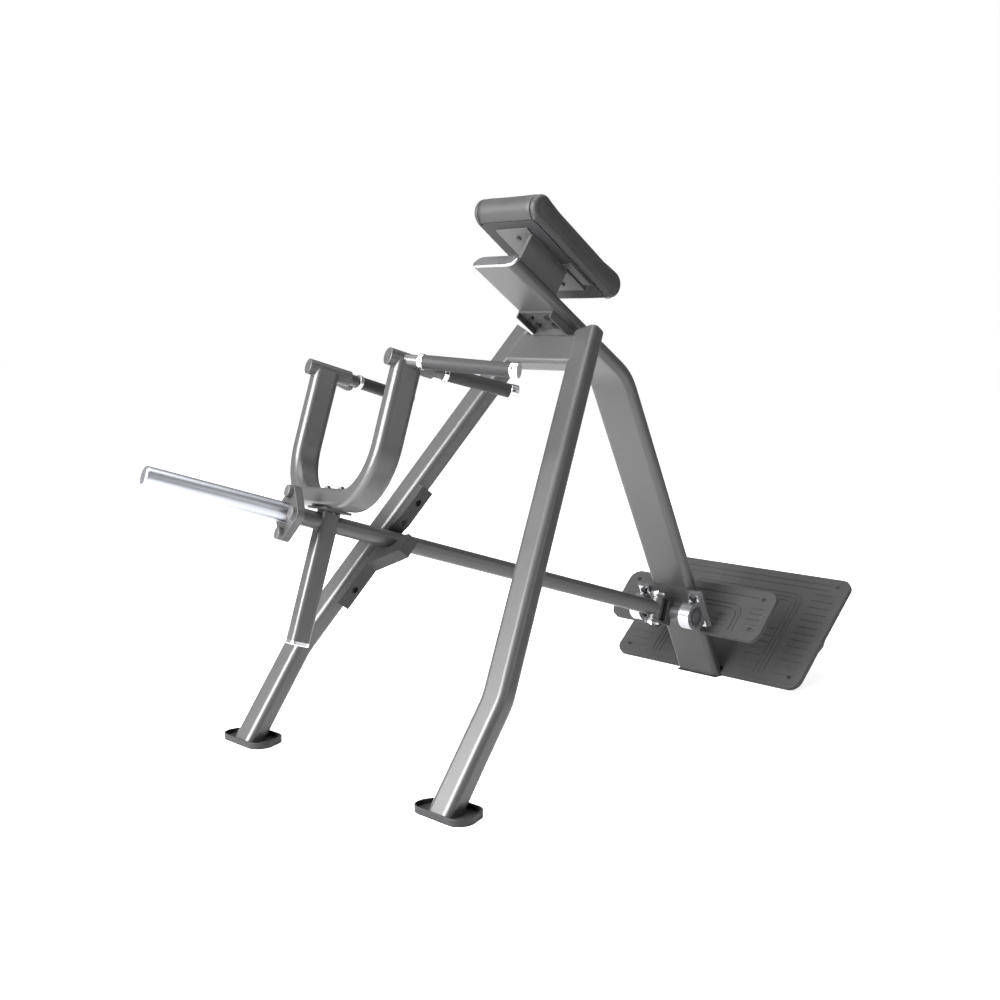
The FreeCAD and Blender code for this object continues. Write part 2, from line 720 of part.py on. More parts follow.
def pin_caps():
    caps = []
    for sign in (1, -1):
        start = point(CRADLE, pin_offset, 0, sign * CLEVIS_OUTER)
        end = point(CRADLE, pin_offset, 0, sign * (CLEVIS_OUTER + pin_cap_height - 3))
        boss = point(CRADLE, pin_offset, 0, sign * (CLEVIS_OUTER + pin_cap_height))
        cap = cyl(pin_cap_dia / 2, start, end).fuse(cyl(pin_dia / 2, start, boss))
        for a, b in pin_cap_bolt_places():
            cap = cap.cut(cyl(2.5, point(CRADLE, a, b, -80), point(CRADLE, a, b, 80)))
        caps.append(cap.removeSplitter())
    return Part.makeCompound(caps)


def pin_cap_bolts():
    bolts = []
    for sign in (1, -1):
        for a, b in pin_cap_bolt_places():
            seat = CLEVIS_OUTER + pin_cap_height - 3
            head = hex_prism(8.0, 3.5, frame_at(point(CRADLE, a, b, sign * seat),
                                                CRADLE_OUT, direction(CRADLE, 0, 0, sign)))
            shank = cyl(2.5, point(CRADLE, a, b, sign * (seat + 1)),
                        point(CRADLE, a, b, sign * CLEVIS_INNER))
            bolts.append(head.fuse(shank).removeSplitter())
    return Part.makeCompound(bolts)


# ---------------------------------------------------------------------------
# lever: barrel, tube, post, yoke, stop plate, weight sleeve
# ---------------------------------------------------------------------------
def swing_barrel():
    half = barrel_height / 2
    return ring(barrel_dia / 2, barrel_bore / 2, point(LEVER, 0, 0, -half),
                point(LEVER, 0, 0, half))


def barrel_bushes():
    half = barrel_height / 2
    bushes = []
    for sign in (1, -1):
        bushes.append(ring(barrel_bore / 2, pin_dia / 2 + running_gap,
                           point(LEVER, 0, 0, sign * (half - bush_length)),
                           point(LEVER, 0, 0, sign * half)))
    return Part.makeCompound(bushes)


def lever_tube():
    tube = ring(lever_dia / 2, lever_dia / 2 - lever_wall, point(LEVER, 0, 0, 0),
                point(LEVER, lever_stop_plate, 0, 0))
    tube = tube.cut(cyl(barrel_dia / 2, point(LEVER, 0, 0, -60), point(LEVER, 0, 0, 60)))
    return max(tube.Solids, key=lambda solid: solid.Volume)


def yoke_bolt_places():
    return [(post_along, k * yoke_bolt_spread / 2) for k in (-1, 1)]


def lever_post():
    top = yoke_base - yoke_flange_thick
    f = frame_at(point(LEVER, post_along, 0, -post_bottom), direction(LEVER, 1, 0, 0),
                 direction(LEVER, 0, 0, 1))
    length = post_bottom + top
    outer = Part.Face(rounded_rect(post_width, post_width, post_corner, f))
    inner = Part.Face(rounded_rect(post_width - 2 * wall, post_width - 2 * wall,
                                   post_corner - wall, f))
    up = direction(LEVER, 0, 0, 1)
    tube = outer.extrude(up * length).cut(inner.extrude(up * length))
    flange = placed(box(post_along - yoke_width / 2, post_along + yoke_width / 2,
                        -yoke_flange_width / 2, yoke_flange_width / 2, top, yoke_base), LEVER)
    body = tube.fuse(flange)
    body = body.cut(cyl(lever_dia / 2, point(LEVER, post_along - 60, 0, 0),
                        point(LEVER, post_along + 60, 0, 0)))
    for a, b in yoke_bolt_places():
        body = body.cut(cyl(M10_shank / 2 + bolt_gap, point(LEVER, a, b, 0),
                            point(LEVER, a, b, yoke_base + 5)))
    return max(body.removeSplitter().Solids, key=lambda solid: solid.Volume)


def post_cap():
    f = frame_at(point(LEVER, post_along, 0, -post_bottom), direction(LEVER, 1, 0, 0),
                 direction(LEVER, 0, 0, -1))
    band = Part.Face(rounded_rect(post_width, post_width, post_corner, f))
    cap = band.extrude(direction(LEVER, 0, 0, -1) * post_cap_height)
    low = [e for e in cap.Edges
           if all((v.Point - f.Base).dot(direction(f, 0, 0, 1)) > post_cap_height - 0.1
                  for v in e.Vertexes)]
    return cap.makeFillet(2.5, low)


def yoke_outline(shrink=0.0):
    mid = yoke_base + yoke_depth / 2
    pts = [point(LEVER, post_along, -yoke_half_span, stub_height),
           point(LEVER, post_along, -yoke_half_span, mid),
           point(LEVER, post_along, yoke_half_span, mid),
           point(LEVER, post_along, yoke_half_span, stub_height)]
    return swept_section(pts, yoke_bend_radius, direction(LEVER, 1, 0, 0),
                         yoke_width - 2 * shrink, yoke_depth - 2 * shrink, yoke_corner - shrink)


def yoke_tube():
    body = yoke_outline().cut(yoke_outline(wall))
    for sign in (1, -1):
        body = body.cut(cyl(stub_dia / 2, point(LEVER, post_along - 90, sign * yoke_half_span,
                                                stub_height),
                            point(LEVER, post_along + 90, sign * yoke_half_span, stub_height)))
    for a, b in yoke_bolt_places():
        body = body.cut(cyl(M10_shank / 2 + bolt_gap, point(LEVER, a, b, yoke_base - 5),
                            point(LEVER, a, b, yoke_base + yoke_depth + 5)))
    return max(body.Solids, key=lambda solid: solid.Volume)


def yoke_bolts():
    bolts = []
    for a, b in yoke_bolt_places():
        bolts.append(hex_bolt(point(LEVER, a, b, yoke_base - yoke_flange_thick),
                              direction(LEVER, 0, 0, -1), direction(LEVER, 1, 0, 0),
                              yoke_flange_thick + yoke_depth, nut=True))
    return Part.makeCompound(bolts)


def grip_stub(side):
    """Short tube across the top of an upright, closed in front, open to the rear."""
    y = -side * yoke_half_span
    front = post_along + stub_ahead
    rear = post_along - stub_behind
    body = cyl(stub_dia / 2, point(LEVER, rear, y, stub_height),
               point(LEVER, front, y, stub_height))
    tip = [e for e in body.Edges
           if all((v.Point - LEVER.Base).dot(LEVER_OUT) > front - 0.1 for v in e.Vertexes)
           and e.Length < 200 and len(e.Vertexes) == 1]
    body = body.makeFillet(2.5, tip)
    bore = cyl(stub_dia / 2 - stub_wall, point(LEVER, rear - 5, y, stub_height),
               point(LEVER, front - stub_wall, y, stub_height))
    return body.cut(bore)


def bar_frame(side, kind):
    """z runs out along the bar, away from the stub."""
    y = -side * yoke_half_span
    if kind == "close":
        start = point(LEVER, post_along - stub_behind, y, stub_height)
        splay, rise = math.radians(close_splay), math.radians(close_rise)
    else:
        start = point(LEVER, post_along + wide_bar_ahead, y, stub_height)
        splay, rise = math.radians(wide_splay), math.radians(wide_rise)
    out = direction(LEVER, -math.cos(splay) * math.cos(rise),
                    -side * math.sin(splay) * math.cos(rise), math.sin(rise))
    return frame_at(start, direction(LEVER, 0, 0, 1), out)


def bar_lengths(kind):
    return (close_neck, close_grip) if kind == "close" else (wide_neck, wide_grip)


def grip_bar(side, kind):
    f = bar_frame(side, kind)
    neck, grip = bar_lengths(kind)
    core_end = neck + grip_ring_length + grip + grip_cap_length - grip_cap_end
    y = -side * yoke_half_span
    start = -4.0 if kind == "close" else 0.0
    bar = cyl(neck_dia / 2, point(f, 0, 0, start), point(f, 0, 0, neck))
    bar = bar.fuse(cyl(grip_core_dia / 2, point(f, 0, 0, neck - 1), point(f, 0, 0, core_end)))
    rear = post_along - stub_behind
    if kind == "close":
        disc = cyl(stub_dia / 2, point(LEVER, rear, y, stub_height),
                   point(LEVER, rear - 5, y, stub_height))
        bar = bar.fuse(disc)
        bar = bar.cut(cyl(stub_dia, point(LEVER, rear, y, stub_height),
                          point(LEVER, rear + 60, y, stub_height)))
    else:
        bar = bar.cut(cyl(stub_dia / 2, point(LEVER, rear, y, stub_height),
                          point(LEVER, post_along + 200, y, stub_height)))
        bar = bar.cut(yoke_outline())
    bar = bar.cut(set_screw_holes(side, kind))
    return max(bar.removeSplitter().Solids, key=lambda solid: solid.Volume)


def grip_sleeve(side, kind):
    f = bar_frame(side, kind)
    neck, grip = bar_lengths(kind)
    start = neck + grip_ring_length
    body = ring(grip_dia / 2, grip_core_dia / 2, point(f, 0, 0, start),
                point(f, 0, 0, start + grip))
    return body


def all_bars():
    return [(side, kind) for side in SIDES.values() for kind in ("close", "wide")]


def grip_rings():
    rings = []
    for side, kind in all_bars():
        f = bar_frame(side, kind)
        neck = bar_lengths(kind)[0]
        body = ring(grip_ring_dia / 2, grip_core_dia / 2, point(f, 0, 0, neck),
                    point(f, 0, 0, neck + grip_ring_length))
        rims = [e for e in body.Edges if abs(e.Length - math.pi * grip_ring_dia) < 0.5]
        rings.append(body.makeFillet(1.0, rims).cut(set_screw_holes(side, kind)))
    return Part.makeCompound(rings)


def grip_end_caps():
    caps = []
    for side, kind in all_bars():
        f = bar_frame(side, kind)
        neck, grip = bar_lengths(kind)
        start = neck + grip_ring_length + grip
        body = cyl(grip_cap_dia / 2, point(f, 0, 0, start), point(f, 0, 0, start + grip_cap_length))
        rims = [e for e in body.Edges if abs(e.Length - math.pi * grip_cap_dia) < 0.5]
        body = body.makeFillet(1.5, rims)
        body = body.cut(cyl(grip_core_dia / 2, point(f, 0, 0, start - 5),
                            point(f, 0, 0, start + grip_cap_length - grip_cap_end)))
        caps.append(body.cut(set_screw_holes(side, kind)))
    return Part.makeCompound(caps)


def set_screw_places(side, kind):
    """Distance along the bar of the screw in the ring and of the one in the cap."""
    neck, grip = bar_lengths(kind)
    ring_at = neck + grip_ring_length / 2
    cap_at = neck + grip_ring_length + grip + (grip_cap_length - grip_cap_end) / 2
    return [(ring_at, grip_ring_dia / 2), (cap_at, grip_cap_dia / 2)]


def set_screw_holes(side, kind):
    f = bar_frame(side, kind)
    holes = [cyl(set_screw_dia / 2, point(f, 0, -side * (grip_core_dia / 2 - 4), at),
                 point(f, 0, -side * (radius + 10), at))
             for at, radius in set_screw_places(side, kind)]
    return holes[0].fuse(holes[1])


def grip_set_screws():
    screws = []
    for side, kind in all_bars():
        f = bar_frame(side, kind)
        for at, radius in set_screw_places(side, kind):
            body = cyl(set_screw_dia / 2, point(f, 0, -side * (grip_core_dia / 2 - 4), at),
                       point(f, 0, -side * (radius + 0.6), at))
            socket = hex_prism(3.0, 3.0, frame_at(point(f, 0, -side * (radius - 1.9), at),
                                                  direction(f, 0, 0, 1),
                                                  direction(f, 0, -side, 0)))
            screws.append(body.cut(socket))
    return Part.makeCompound(screws)


def stop_lobes():
    r = stop_lobe_offset
    return [(0.0, r), (0.0, -r), (r, 0.0), (-r, 0.0)]


def stop_plate():
    f = frame_at(point(LEVER, lever_stop_plate, 0, 0), direction(LEVER, 0, 1, 0), LEVER_OUT)
    r = stop_lobe_offset
    k = stop_lobe_radius / math.sqrt(2)
    corners = [V(r + k, k, 0), V(k, r + k, 0), V(-k, r + k, 0), V(-r - k, k, 0),
               V(-r - k, -k, 0), V(-k, -r - k, 0), V(k, -r - k, 0), V(r + k, -k, 0)]
    body = placed(prism(corners, V(0, 0, stop_plate_thick)), f)
    for a, b in stop_lobes():
        body = body.fuse(cyl(stop_lobe_radius, point(f, a, b, 0), point(f, a, b, stop_plate_thick)))
    body = body.removeSplitter()
    rims = [e for e in body.Edges
            if len({round((v.Point - f.Base).dot(LEVER_OUT), 2) for v in e.Vertexes}) == 1]
    return body.makeFillet(1.5, rims)


def stop_bumpers():
    f = frame_at(point(LEVER, lever_stop_plate, 0, 0), direction(LEVER, 0, 1, 0), LEVER_OUT)
    bumpers = []
    for a, b in stop_lobes():
        body = cyl(bumper_dia / 2, point(f, a, b, stop_plate_thick),
                   point(f, a, b, stop_plate_thick + bumper_height))
        rim = [e for e in body.Edges
               if e.Length < math.pi * bumper_dia + 1 and e.Length > math.pi * bumper_dia - 1
               and (e.Vertexes[0].Point - f.Base).dot(LEVER_OUT) > stop_plate_thick + 1]
        bumpers.append(body.makeFillet(3.0, rim))
    return Part.makeCompound(bumpers)


def weight_sleeve():
    start = lever_stop_plate + stop_plate_thick
    end = start + sleeve_length
    body = cyl(sleeve_dia / 2, point(LEVER, start, 0, 0), point(LEVER, end, 0, 0))
    tip = [e for e in body.Edges
           if len(e.Vertexes) == 1 and (e.Vertexes[0].Point - LEVER.Base).dot(LEVER_OUT) > end - 1]
    body = body.makeFillet(sleeve_chamfer, tip)
    bore = cyl(sleeve_dia / 2 - lever_wall, point(LEVER, start - 5, 0, 0),
               point(LEVER, end - 14, 0, 0))
    return body.cut(bore)


# ---------------------------------------------------------------------------
# rack hook on the leg
# ---------------------------------------------------------------------------
def hook_point(f, off, along, front):
    """off is measured from the leg's middle towards the centre plane."""
    return point(f, along, -off, front)


def lever_slot():
    """Room for the lever at rest and along its way up and out of the hook."""
    reach, half = 150.0, lever_dia / 2 + hook_slot_gap
    lift = math.radians(1.0) * (845.0 + pin_offset)
    shift = math.radians(lever_swing / lever_lift) * 845.0
    way = V(0, shift, lift).normalize()
    across = V(0, -way.z, way.y)
    wide = half + reach * math.tan(math.radians(hook_flare))
    start = V(760, 0, 0)
    pts = [start + across * half, start - across * half,
           start + way * reach - across * wide, start + way * reach + across * wide]
    slot = placed(prism(pts, V(180, 0, 0)), LEVER)
    seat = cyl(half, point(LEVER, 760, 0, 0), point(LEVER, 940, 0, 0))
    return slot.fuse(seat)


def hook_bracket():
    f = leg_frame(1)
    inner = leg_width / 2
    outer = inner + hook_web
    profile = [(inner, hook_low), (outer, hook_low), (outer, 268), (outer + 10, 278),
               (outer + 58, 325), (outer + 75, 343), (outer + 69, 391), (outer + 60, 385),
               (outer + 42, 345), (outer + 31, 334), (outer, 334), (outer, hook_high),
               (inner, hook_high)]
    low = -hook_depth / 2
    pts = [hook_point(f, off, along, low) for off, along in profile]
    body = prism(pts, LEG_FRONT * hook_depth)
    body = body.cut(lever_slot())
    body = body.cut(prism([hook_point(f, inner + 5, 284, hook_depth / 2 - 2),
                           hook_point(f, inner + 8, 284, hook_depth / 2 - 2),
                           hook_point(f, inner + 8, 394, hook_depth / 2 - 2),
                           hook_point(f, inner + 5, 394, hook_depth / 2 - 2)], LEG_FRONT * 5))
    for along in hook_bolts_along:
        body = body.cut(cyl(M10_shank / 2 + bolt_gap, hook_point(f, inner - 5, along, 0),
                            hook_point(f, outer + 5, along, 0)))
        body = body.cut(cyl(hook_bolt_head / 2 + 1.0,
                            hook_point(f, inner + hook_bolt_seat, along, 0),
                            hook_point(f, outer + 5, along, 0)))
    return max(body.removeSplitter().Solids, key=lambda solid: solid.Volume)


def hook_bolts():
    f = leg_frame(1)
    inner = leg_width / 2
    bolts = []
    for along in hook_bolts_along:
        head = cyl(hook_bolt_head / 2, hook_point(f, inner + hook_bolt_seat, along, 0),
                   hook_point(f, inner + hook_bolt_seat + 8, along, 0))
        shank = cyl(M10_shank / 2, hook_point(f, inner + hook_bolt_seat + 1, along, 0),
                    hook_point(f, -inner - M10_head_height - 3, along, 0))
        nut = hex_prism(M10_head, M10_head_height,
                        frame_at(hook_point(f, -inner, along, 0), direction(f, 1, 0, 0),
                                 direction(f, 0, 1, 0)))
        socket = hex_prism(8.0, 4.0, frame_at(hook_point(f, inner + hook_bolt_seat + 4.5, along, 0),
                                              direction(f, 1, 0, 0), direction(f, 0, -1, 0)))
        bolts.append(head.fuse([shank, nut]).removeSplitter().cut(socket))
    return Part.makeCompound(bolts)


def drill_hook_holes(leg):
    f = leg_frame(1)
    for along in hook_bolts_along:
        leg = leg.cut(cyl(M10_shank / 2 + bolt_gap, hook_point(f, 60, along, 0),
                          hook_point(f, -60, along, 0)))
    return leg


# ---------------------------------------------------------------------------
# foot treads
# ---------------------------------------------------------------------------
def tread_frame(kind):
    """Lower edge of the tread's face: x up the tread, z out of the face."""
    if kind == "lower":
        x, z, slope = lower_tread_x, lower_tread_z, math.radians(lower_tread_slope)
    else:
        x, z, slope = upper_tread_x, upper_tread_z, math.radians(upper_tread_slope)
    up = V(math.cos(slope), 0, math.sin(slope))
    return frame_at(V(x, 0, z), up, up.cross(Y))


def tread_sizes(kind):
    if kind == "lower":
        return lower_tread_width, lower_tread_depth, notch_depth("lower")
    return upper_tread_width, upper_tread_depth, notch_depth("upper")


def notch_depth(kind):
    """The tread is cut back to the rear face of the spine."""
    f = tread_frame(kind)
    depth = 0.0
    while depth < upper_tread_depth - 20:
        gap = (point(f, depth, 0, 0) - FOOT).dot(direction(LOWER, 0, 0, -1))
        under = (point(f, depth, 0, -tread_thick - tread_plate_thick) - FOOT)
        if min(gap, under.dot(direction(LOWER, 0, 0, -1))) > spine_depth / 2 + tread_notch_gap:
            return depth
        depth += 0.5
    return depth


def slab(kind, inset, z_low, z_high, corner):
    f = tread_frame(kind)
    width, depth, notch = tread_sizes(kind)
    base = frame_at(point(f, depth / 2, 0, z_low), direction(f, 1, 0, 0), direction(f, 0, 0, 1))
    wire = rounded_rect(depth - 2 * inset, width - 2 * inset, corner, base)
    body = Part.Face(wire).extrude(direction(f, 0, 0, 1) * (z_high - z_low))
    half = spine_width / 2 + tread_notch_gap
    gap = placed(box(-50, notch, -half, half, z_low - 5, z_high + 5), f)
    return body.cut(gap)


def tread(kind):
    f = tread_frame(kind)
    body = slab(kind, 0.0, -tread_thick, 0.0, tread_corner)
    up = direction(f, 0, 0, 1)
    rims = [e for e in body.Edges
            if all(abs((v.Point - f.Base).dot(up)) < 0.01 for v in e.Vertexes)]
    body = body.makeFillet(2.5, rims)
    for a, b in tread_screw_places(kind):
        body = body.cut(cyl(7.0, point(f, a, b, -4), point(f, a, b, 5)))
        body = body.cut(cyl(4.2, point(f, a, b, -tread_thick - 5), point(f, a, b, 5)))
    return body


def tread_plate(kind):
    f = tread_frame(kind)
    body = slab(kind, tread_plate_inset, -tread_thick - tread_plate_thick, -tread_thick,
                tread_corner - tread_plate_inset)
    for a, b in tread_screw_places(kind):
        body = body.cut(cyl(4.2, point(f, a, b, -60), point(f, a, b, 5)))
    return body


def tread_screw_places(kind):
    width, depth, _ = tread_sizes(kind)
    reach = width / 2 - 40
    rows = (36.0, depth - 30.0)
    return [(row, side * reach) for row in rows for side in (1, -1)]


def tread_screws():
    screws = []
    for kind in ("lower", "upper"):
        f = tread_frame(kind)
        for a, b in tread_screw_places(kind):
            head = cyl(6.5, point(f, a, b, -4), point(f, a, b, -0.8))
            shank = cyl(4.0, point(f, a, b, -4.5),
                        point(f, a, b, -tread_thick - tread_plate_thick - 7))
            nut = hex_prism(13.0, 5.0, frame_at(
                point(f, a, b, -tread_thick - tread_plate_thick), direction(f, 1, 0, 0),
                direction(f, 0, 0, -1)))
            screws.append(head.fuse([shank, nut]).removeSplitter())
    return Part.makeCompound(screws)


def gusset(side):
    """Triangular stiffener under the lower tread near its edge."""
    f = tread_frame("lower")
    under = -tread_thick - tread_plate_thick
    y0 = side * gusset_y - 3
    pts = [point(f, gusset_from, y0, under), point(f, gusset_to, y0, under),
           point(f, gusset_to - 62, y0, under - gusset_drop)]
    return prism(pts, Y * 6)


def base_strip(spine_solid):
    """Flat bar along the floor from the spine's rear face to the end of the treads."""
    strip = box(0, base_strip_reach, -base_strip_width / 2, base_strip_width / 2,
                floor_pad_thick, STRIP_TOP).cut(spine_solid)
    return max(strip.Solids, key=lambda solid: solid.Volume)


def tread_rib(side):
    """Upright plate from the base strip to the underside of the lower tread."""
    low = tread_frame("lower")
    y0 = side * rib_spread / 2 - rib_thick / 2
    under = -tread_thick - tread_plate_thick
    notch = notch_depth("lower")

    def at(p):
        return V(p.x, y0, p.z)

    a = at(point(low, notch + tread_plate_inset, 0, under))
    b = at(point(low, lower_tread_depth - tread_plate_inset - 40, 0, under))
    return prism([a, b, V(base_strip_reach - 6, y0, STRIP_TOP + 60),
                  V(base_strip_reach - 6, y0, STRIP_TOP), V(a.x, y0, STRIP_TOP)],
                 V(0, rib_thick, 0))


def upper_rib(side):
    """Plate from the spine's rear face to the underside of the upper tread."""
    high = tread_frame("upper")
    y0 = side * rib_spread / 2 - rib_thick / 2
    under = -tread_thick - tread_plate_thick
    start = notch_depth("upper") + tread_plate_inset
    c = point(high, start, 0, under)
    d = point(high, upper_tread_depth - tread_plate_inset - 6, 0, under)
    back = spine_depth / 2

    def on_spine(height):
        return point(LOWER, height / LOWER_UP.z, 0, -back)

    e = on_spine(c.z - 8)
    g = on_spine(c.z - 70)
    pts = [V(p.x, y0, p.z) for p in (c, d, g, e)]
    rib = prism(pts, V(0, rib_thick, 0))
    rib = rib.cut(slab("upper", 0.0, under, 5.0, tread_corner))
    return max(rib.Solids, key=lambda solid: solid.Volume)


# ---------------------------------------------------------------------------
# build and write
# ---------------------------------------------------------------------------
def main():
    os.makedirs("parts", exist_ok=True)
    spine_solid = trim_spine(spine_outline())
    spine = spine_solid.cut(spine_outline(wall))
    f = saddle_frame()
    for a, b in saddle_bolt_places():
        spine = spine.cut(cyl(M10_shank / 2 + bolt_gap, point(f, a, b, -14), point(f, a, b, 5)))
    export("main_spine", spine)
    export("spine_top_cap", head_cap())

    outlines = {side: leg_outline(side).cut(spine_solid) for side in SIDES.values()}
    for name, side in SIDES.items():
        leg = leg_tube(side).cut(spine_solid)
        if side > 0:
            leg = drill_hook_holes(leg)
        leg = max(leg.Solids, key=lambda solid: solid.Volume)
        export(name + "_leg", leg)
        export(name + "_foot", foot_cup(side))
    export("foot_bolts", foot_bolts())
    cross = crossmember(list(outlines.values()))
    export("crossmember", cross)
    cross_outer = crossmember_block()
    export("saddle_bracket", saddle_bracket(cross_outer))
    export("saddle_bolts", saddle_bolts())

    export("rear_floor_pad", box(-floor_pad_length / 2, floor_pad_length / 2,
                                 -floor_pad_width / 2, floor_pad_width / 2, 0, floor_pad_thick))
    export("tread_floor_pad", box(base_strip_reach - floor_pad_length, base_strip_reach,
                                  -floor_pad_width / 2, floor_pad_width / 2, 0, floor_pad_thick))
    export("base_strip", base_strip(spine_solid))

    export("chest_pad", chest_pad())
    export("pad_board", pad_board())
    export("pad_bracket", pad_bracket(spine_solid))
    export("pad_screws", pad_screws())

    export("bearing_mount_plate", bearing_mount_plate())
    for name, side in SIDES.items():
        export(name + "_bearing_block", bearing_block(side))
    export("axle_bearings", Part.makeCompound([axle_bearing(1), axle_bearing(-1)]))
    export("block_bolts", block_bolts())

    export("hook_bracket", hook_bracket())
    export("hook_bolts", hook_bolts())

    for kind in ("lower", "upper"):
        export(kind + "_tread", tread(kind))
        export(kind + "_tread_plate", tread_plate(kind))
    export("tread_screws", tread_screws())
    export("tread_ribs", Part.makeCompound([tread_rib(1), tread_rib(-1),
                                            upper_rib(1), upper_rib(-1)]))
    export("tread_gussets", Part.makeCompound([gusset(1), gusset(-1)]))

    export("axle_shaft", axle_shaft())
    export("axle_tube", axle_tube())
    export("swing_clevis", swing_clevis())
    export("king_pin", king_pin())
    export("pin_caps", pin_caps())
    export("pin_cap_bolts", pin_cap_bolts())

    export("swing_barrel", swing_barrel())
    export("barrel_bushes", barrel_bushes())
    export("lever_tube", lever_tube())
    export("lever_post", lever_post())
    export("post_cap", post_cap())
    export("yoke_tube", yoke_tube())
    export("yoke_bolts", yoke_bolts())
    for name, side in SIDES.items():
        export(name + "_stub", grip_stub(side))
        for kind in ("close", "wide"):
            export(name + "_" + kind + "_bar", grip_bar(side, kind))
            export(name + "_" + kind + "_grip", grip_sleeve(side, kind))
    export("grip_rings", grip_rings())
    export("grip_end_caps", grip_end_caps())
    export("grip_set_screws", grip_set_screws())
    export("stop_plate", stop_plate())
    export("stop_bumpers", stop_bumpers())
    export("weight_sleeve", weight_sleeve())


def crossmember_block():
    f = cross_frame()
    f_end = frame_at(point(f, 0, 0, -160), LEG_FRONT, Y)
    profile = rounded_rect(cross_depth, cross_height, cross_corner, f_end)
    return Part.Face(profile).extrude(Y * 320)


main()
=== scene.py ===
# %% [markdown]
# # A chest-supported incline row, dressed for the studio
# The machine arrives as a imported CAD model: every tube, bolt and bearing is already in place, in metres.
# This lesson never moves or reshapes those parts. It gives each one a finish that a maker would recognise,
# and adds the soft and moulded detail that CAD solids leave out: an upholstered pad, its sewn seams,
# and the ribs moulded into the foot treads.

# %% Load the machine
import bpy
import json
import math
import numpy as np
from mathutils import Matrix, Vector


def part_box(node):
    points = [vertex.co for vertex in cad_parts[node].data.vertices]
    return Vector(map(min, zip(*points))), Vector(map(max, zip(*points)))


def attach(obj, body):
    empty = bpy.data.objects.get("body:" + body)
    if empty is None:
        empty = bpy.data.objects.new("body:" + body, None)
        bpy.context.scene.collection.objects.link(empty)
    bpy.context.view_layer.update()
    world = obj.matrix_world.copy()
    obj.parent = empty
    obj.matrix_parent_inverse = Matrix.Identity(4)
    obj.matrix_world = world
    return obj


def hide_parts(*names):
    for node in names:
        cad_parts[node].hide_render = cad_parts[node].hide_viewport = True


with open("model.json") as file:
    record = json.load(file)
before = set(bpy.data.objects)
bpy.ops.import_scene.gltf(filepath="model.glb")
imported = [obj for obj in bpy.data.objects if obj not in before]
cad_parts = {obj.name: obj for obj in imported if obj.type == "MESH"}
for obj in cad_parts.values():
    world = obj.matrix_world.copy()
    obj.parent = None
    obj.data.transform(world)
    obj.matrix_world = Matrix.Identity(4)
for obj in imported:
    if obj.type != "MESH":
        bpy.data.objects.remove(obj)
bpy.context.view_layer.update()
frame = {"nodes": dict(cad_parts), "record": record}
nodes = frame["nodes"]
print("CAD nodes:", len(nodes))

# %% [markdown]
# ## Working directions
# Three of the machine's own directions come up again and again: the slope of each foot tread and the slope
# of the chest pad. A matrix whose X runs along the part, Y across it and Z out of its face lets every detail
# be modelled flat on the bench and then laid in place with one move.

# %% Bench-to-machine matrices
def slope_matrix(origin, degrees):
    """X climbs the slope towards +X, Y is across the machine, Z stands out of the face."""
    a = math.radians(degrees)
    return Matrix(((math.cos(a), 0, -math.sin(a), origin[0]),
                   (0, 1, 0, origin[1]),
                   (math.sin(a), 0, math.cos(a), origin[2]),
                   (0, 0, 0, 1)))


treads = {
    "lower_tread": {"edge": (-0.0066, 0, 0.0116), "slope": 42.8, "width": 0.672, "depth": 0.398},
    "upper_tread": {"edge": (-0.1122, 0, 0.1541), "slope": 46.5, "width": 0.540, "depth": 0.169},
}
pad_low, pad_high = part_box("chest_pad")
pad_centre = ((pad_low[0] + pad_high[0]) / 2, 0, (pad_low[2] + pad_high[2]) / 2)
pad_matrix = slope_matrix(pad_centre, -34.5)
pad_size = (0.382, 0.220, 0.072)
print("pad centre", [round(v, 3) for v in pad_centre])

# %% [markdown]
# ## Small helpers for the bench
# A finished piece has its place baked into its mesh and its object at the origin, like the CAD parts.

# %% Bench helpers
def select_only(*objects):
    if bpy.context.object and bpy.context.object.mode != "OBJECT":
        bpy.ops.object.mode_set(mode="OBJECT")
    bpy.ops.object.select_all(action="DESELECT")
    for obj in objects:
        obj.select_set(True)
    if objects:
        bpy.context.view_layer.objects.active = objects[0]


def lay_in_place(piece, matrix):
    """Move a bench-made piece onto the machine and bake the move into its mesh."""
    select_only(piece)
    piece.matrix_world = matrix @ piece.matrix_world
    bpy.ops.object.transform_apply(location=True, rotation=True, scale=True)


def finish_piece(piece, body, material):
    piece.data.materials.clear()
    piece.data.materials.append(material)
    select_only(piece)
    bpy.ops.object.shade_smooth_by_angle(angle=math.radians(40))
    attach(piece, body)
    print(piece.name, "faces", len(piece.data.polygons))


def join_all(pieces, name):
    select_only(*pieces)
    bpy.ops.object.join()
    bpy.context.object.name = name
    return bpy.context.object


# %% [markdown]
# ## Shader groups shared by several finishes
# A group is a reusable bundle of nodes. These put out only masks, values and heights, so each material stays
# in charge of its own shader. `fine_grain` is the orange peel of powder coat, the tooth of rubber or the
# haze on plated metal, depending on its scale. `soft_dust` finds the faces that look up, where dust settles.
# `edge_light` finds corners by comparing a rounded normal with the true one; the finishes paint them lighter,
# partly as wear and partly as a painted highlight.

# %% Group builder
def new_group(name, inputs, outputs):
    group = bpy.data.node_groups.new(name, "ShaderNodeTree")
    for label, kind, value in inputs:
        socket = group.interface.new_socket(name=label, in_out="INPUT", socket_type=kind)
        if value is not None:
            socket.default_value = value
    for label, kind in outputs:
        group.interface.new_socket(name=label, in_out="OUTPUT", socket_type=kind)
    return group, group.nodes.new("NodeGroupInput"), group.nodes.new("NodeGroupOutput")


def math_node(tree, operation, a, b, clamp=False):
    node = tree.nodes.new("ShaderNodeMath")
    node.operation = operation
    node.use_clamp = clamp
    for i, value in enumerate((a, b)):
        if isinstance(value, (int, float)):
            node.inputs[i].default_value = value
        else:
            tree.links.new(value, node.inputs[i])
    return node.outputs[0]


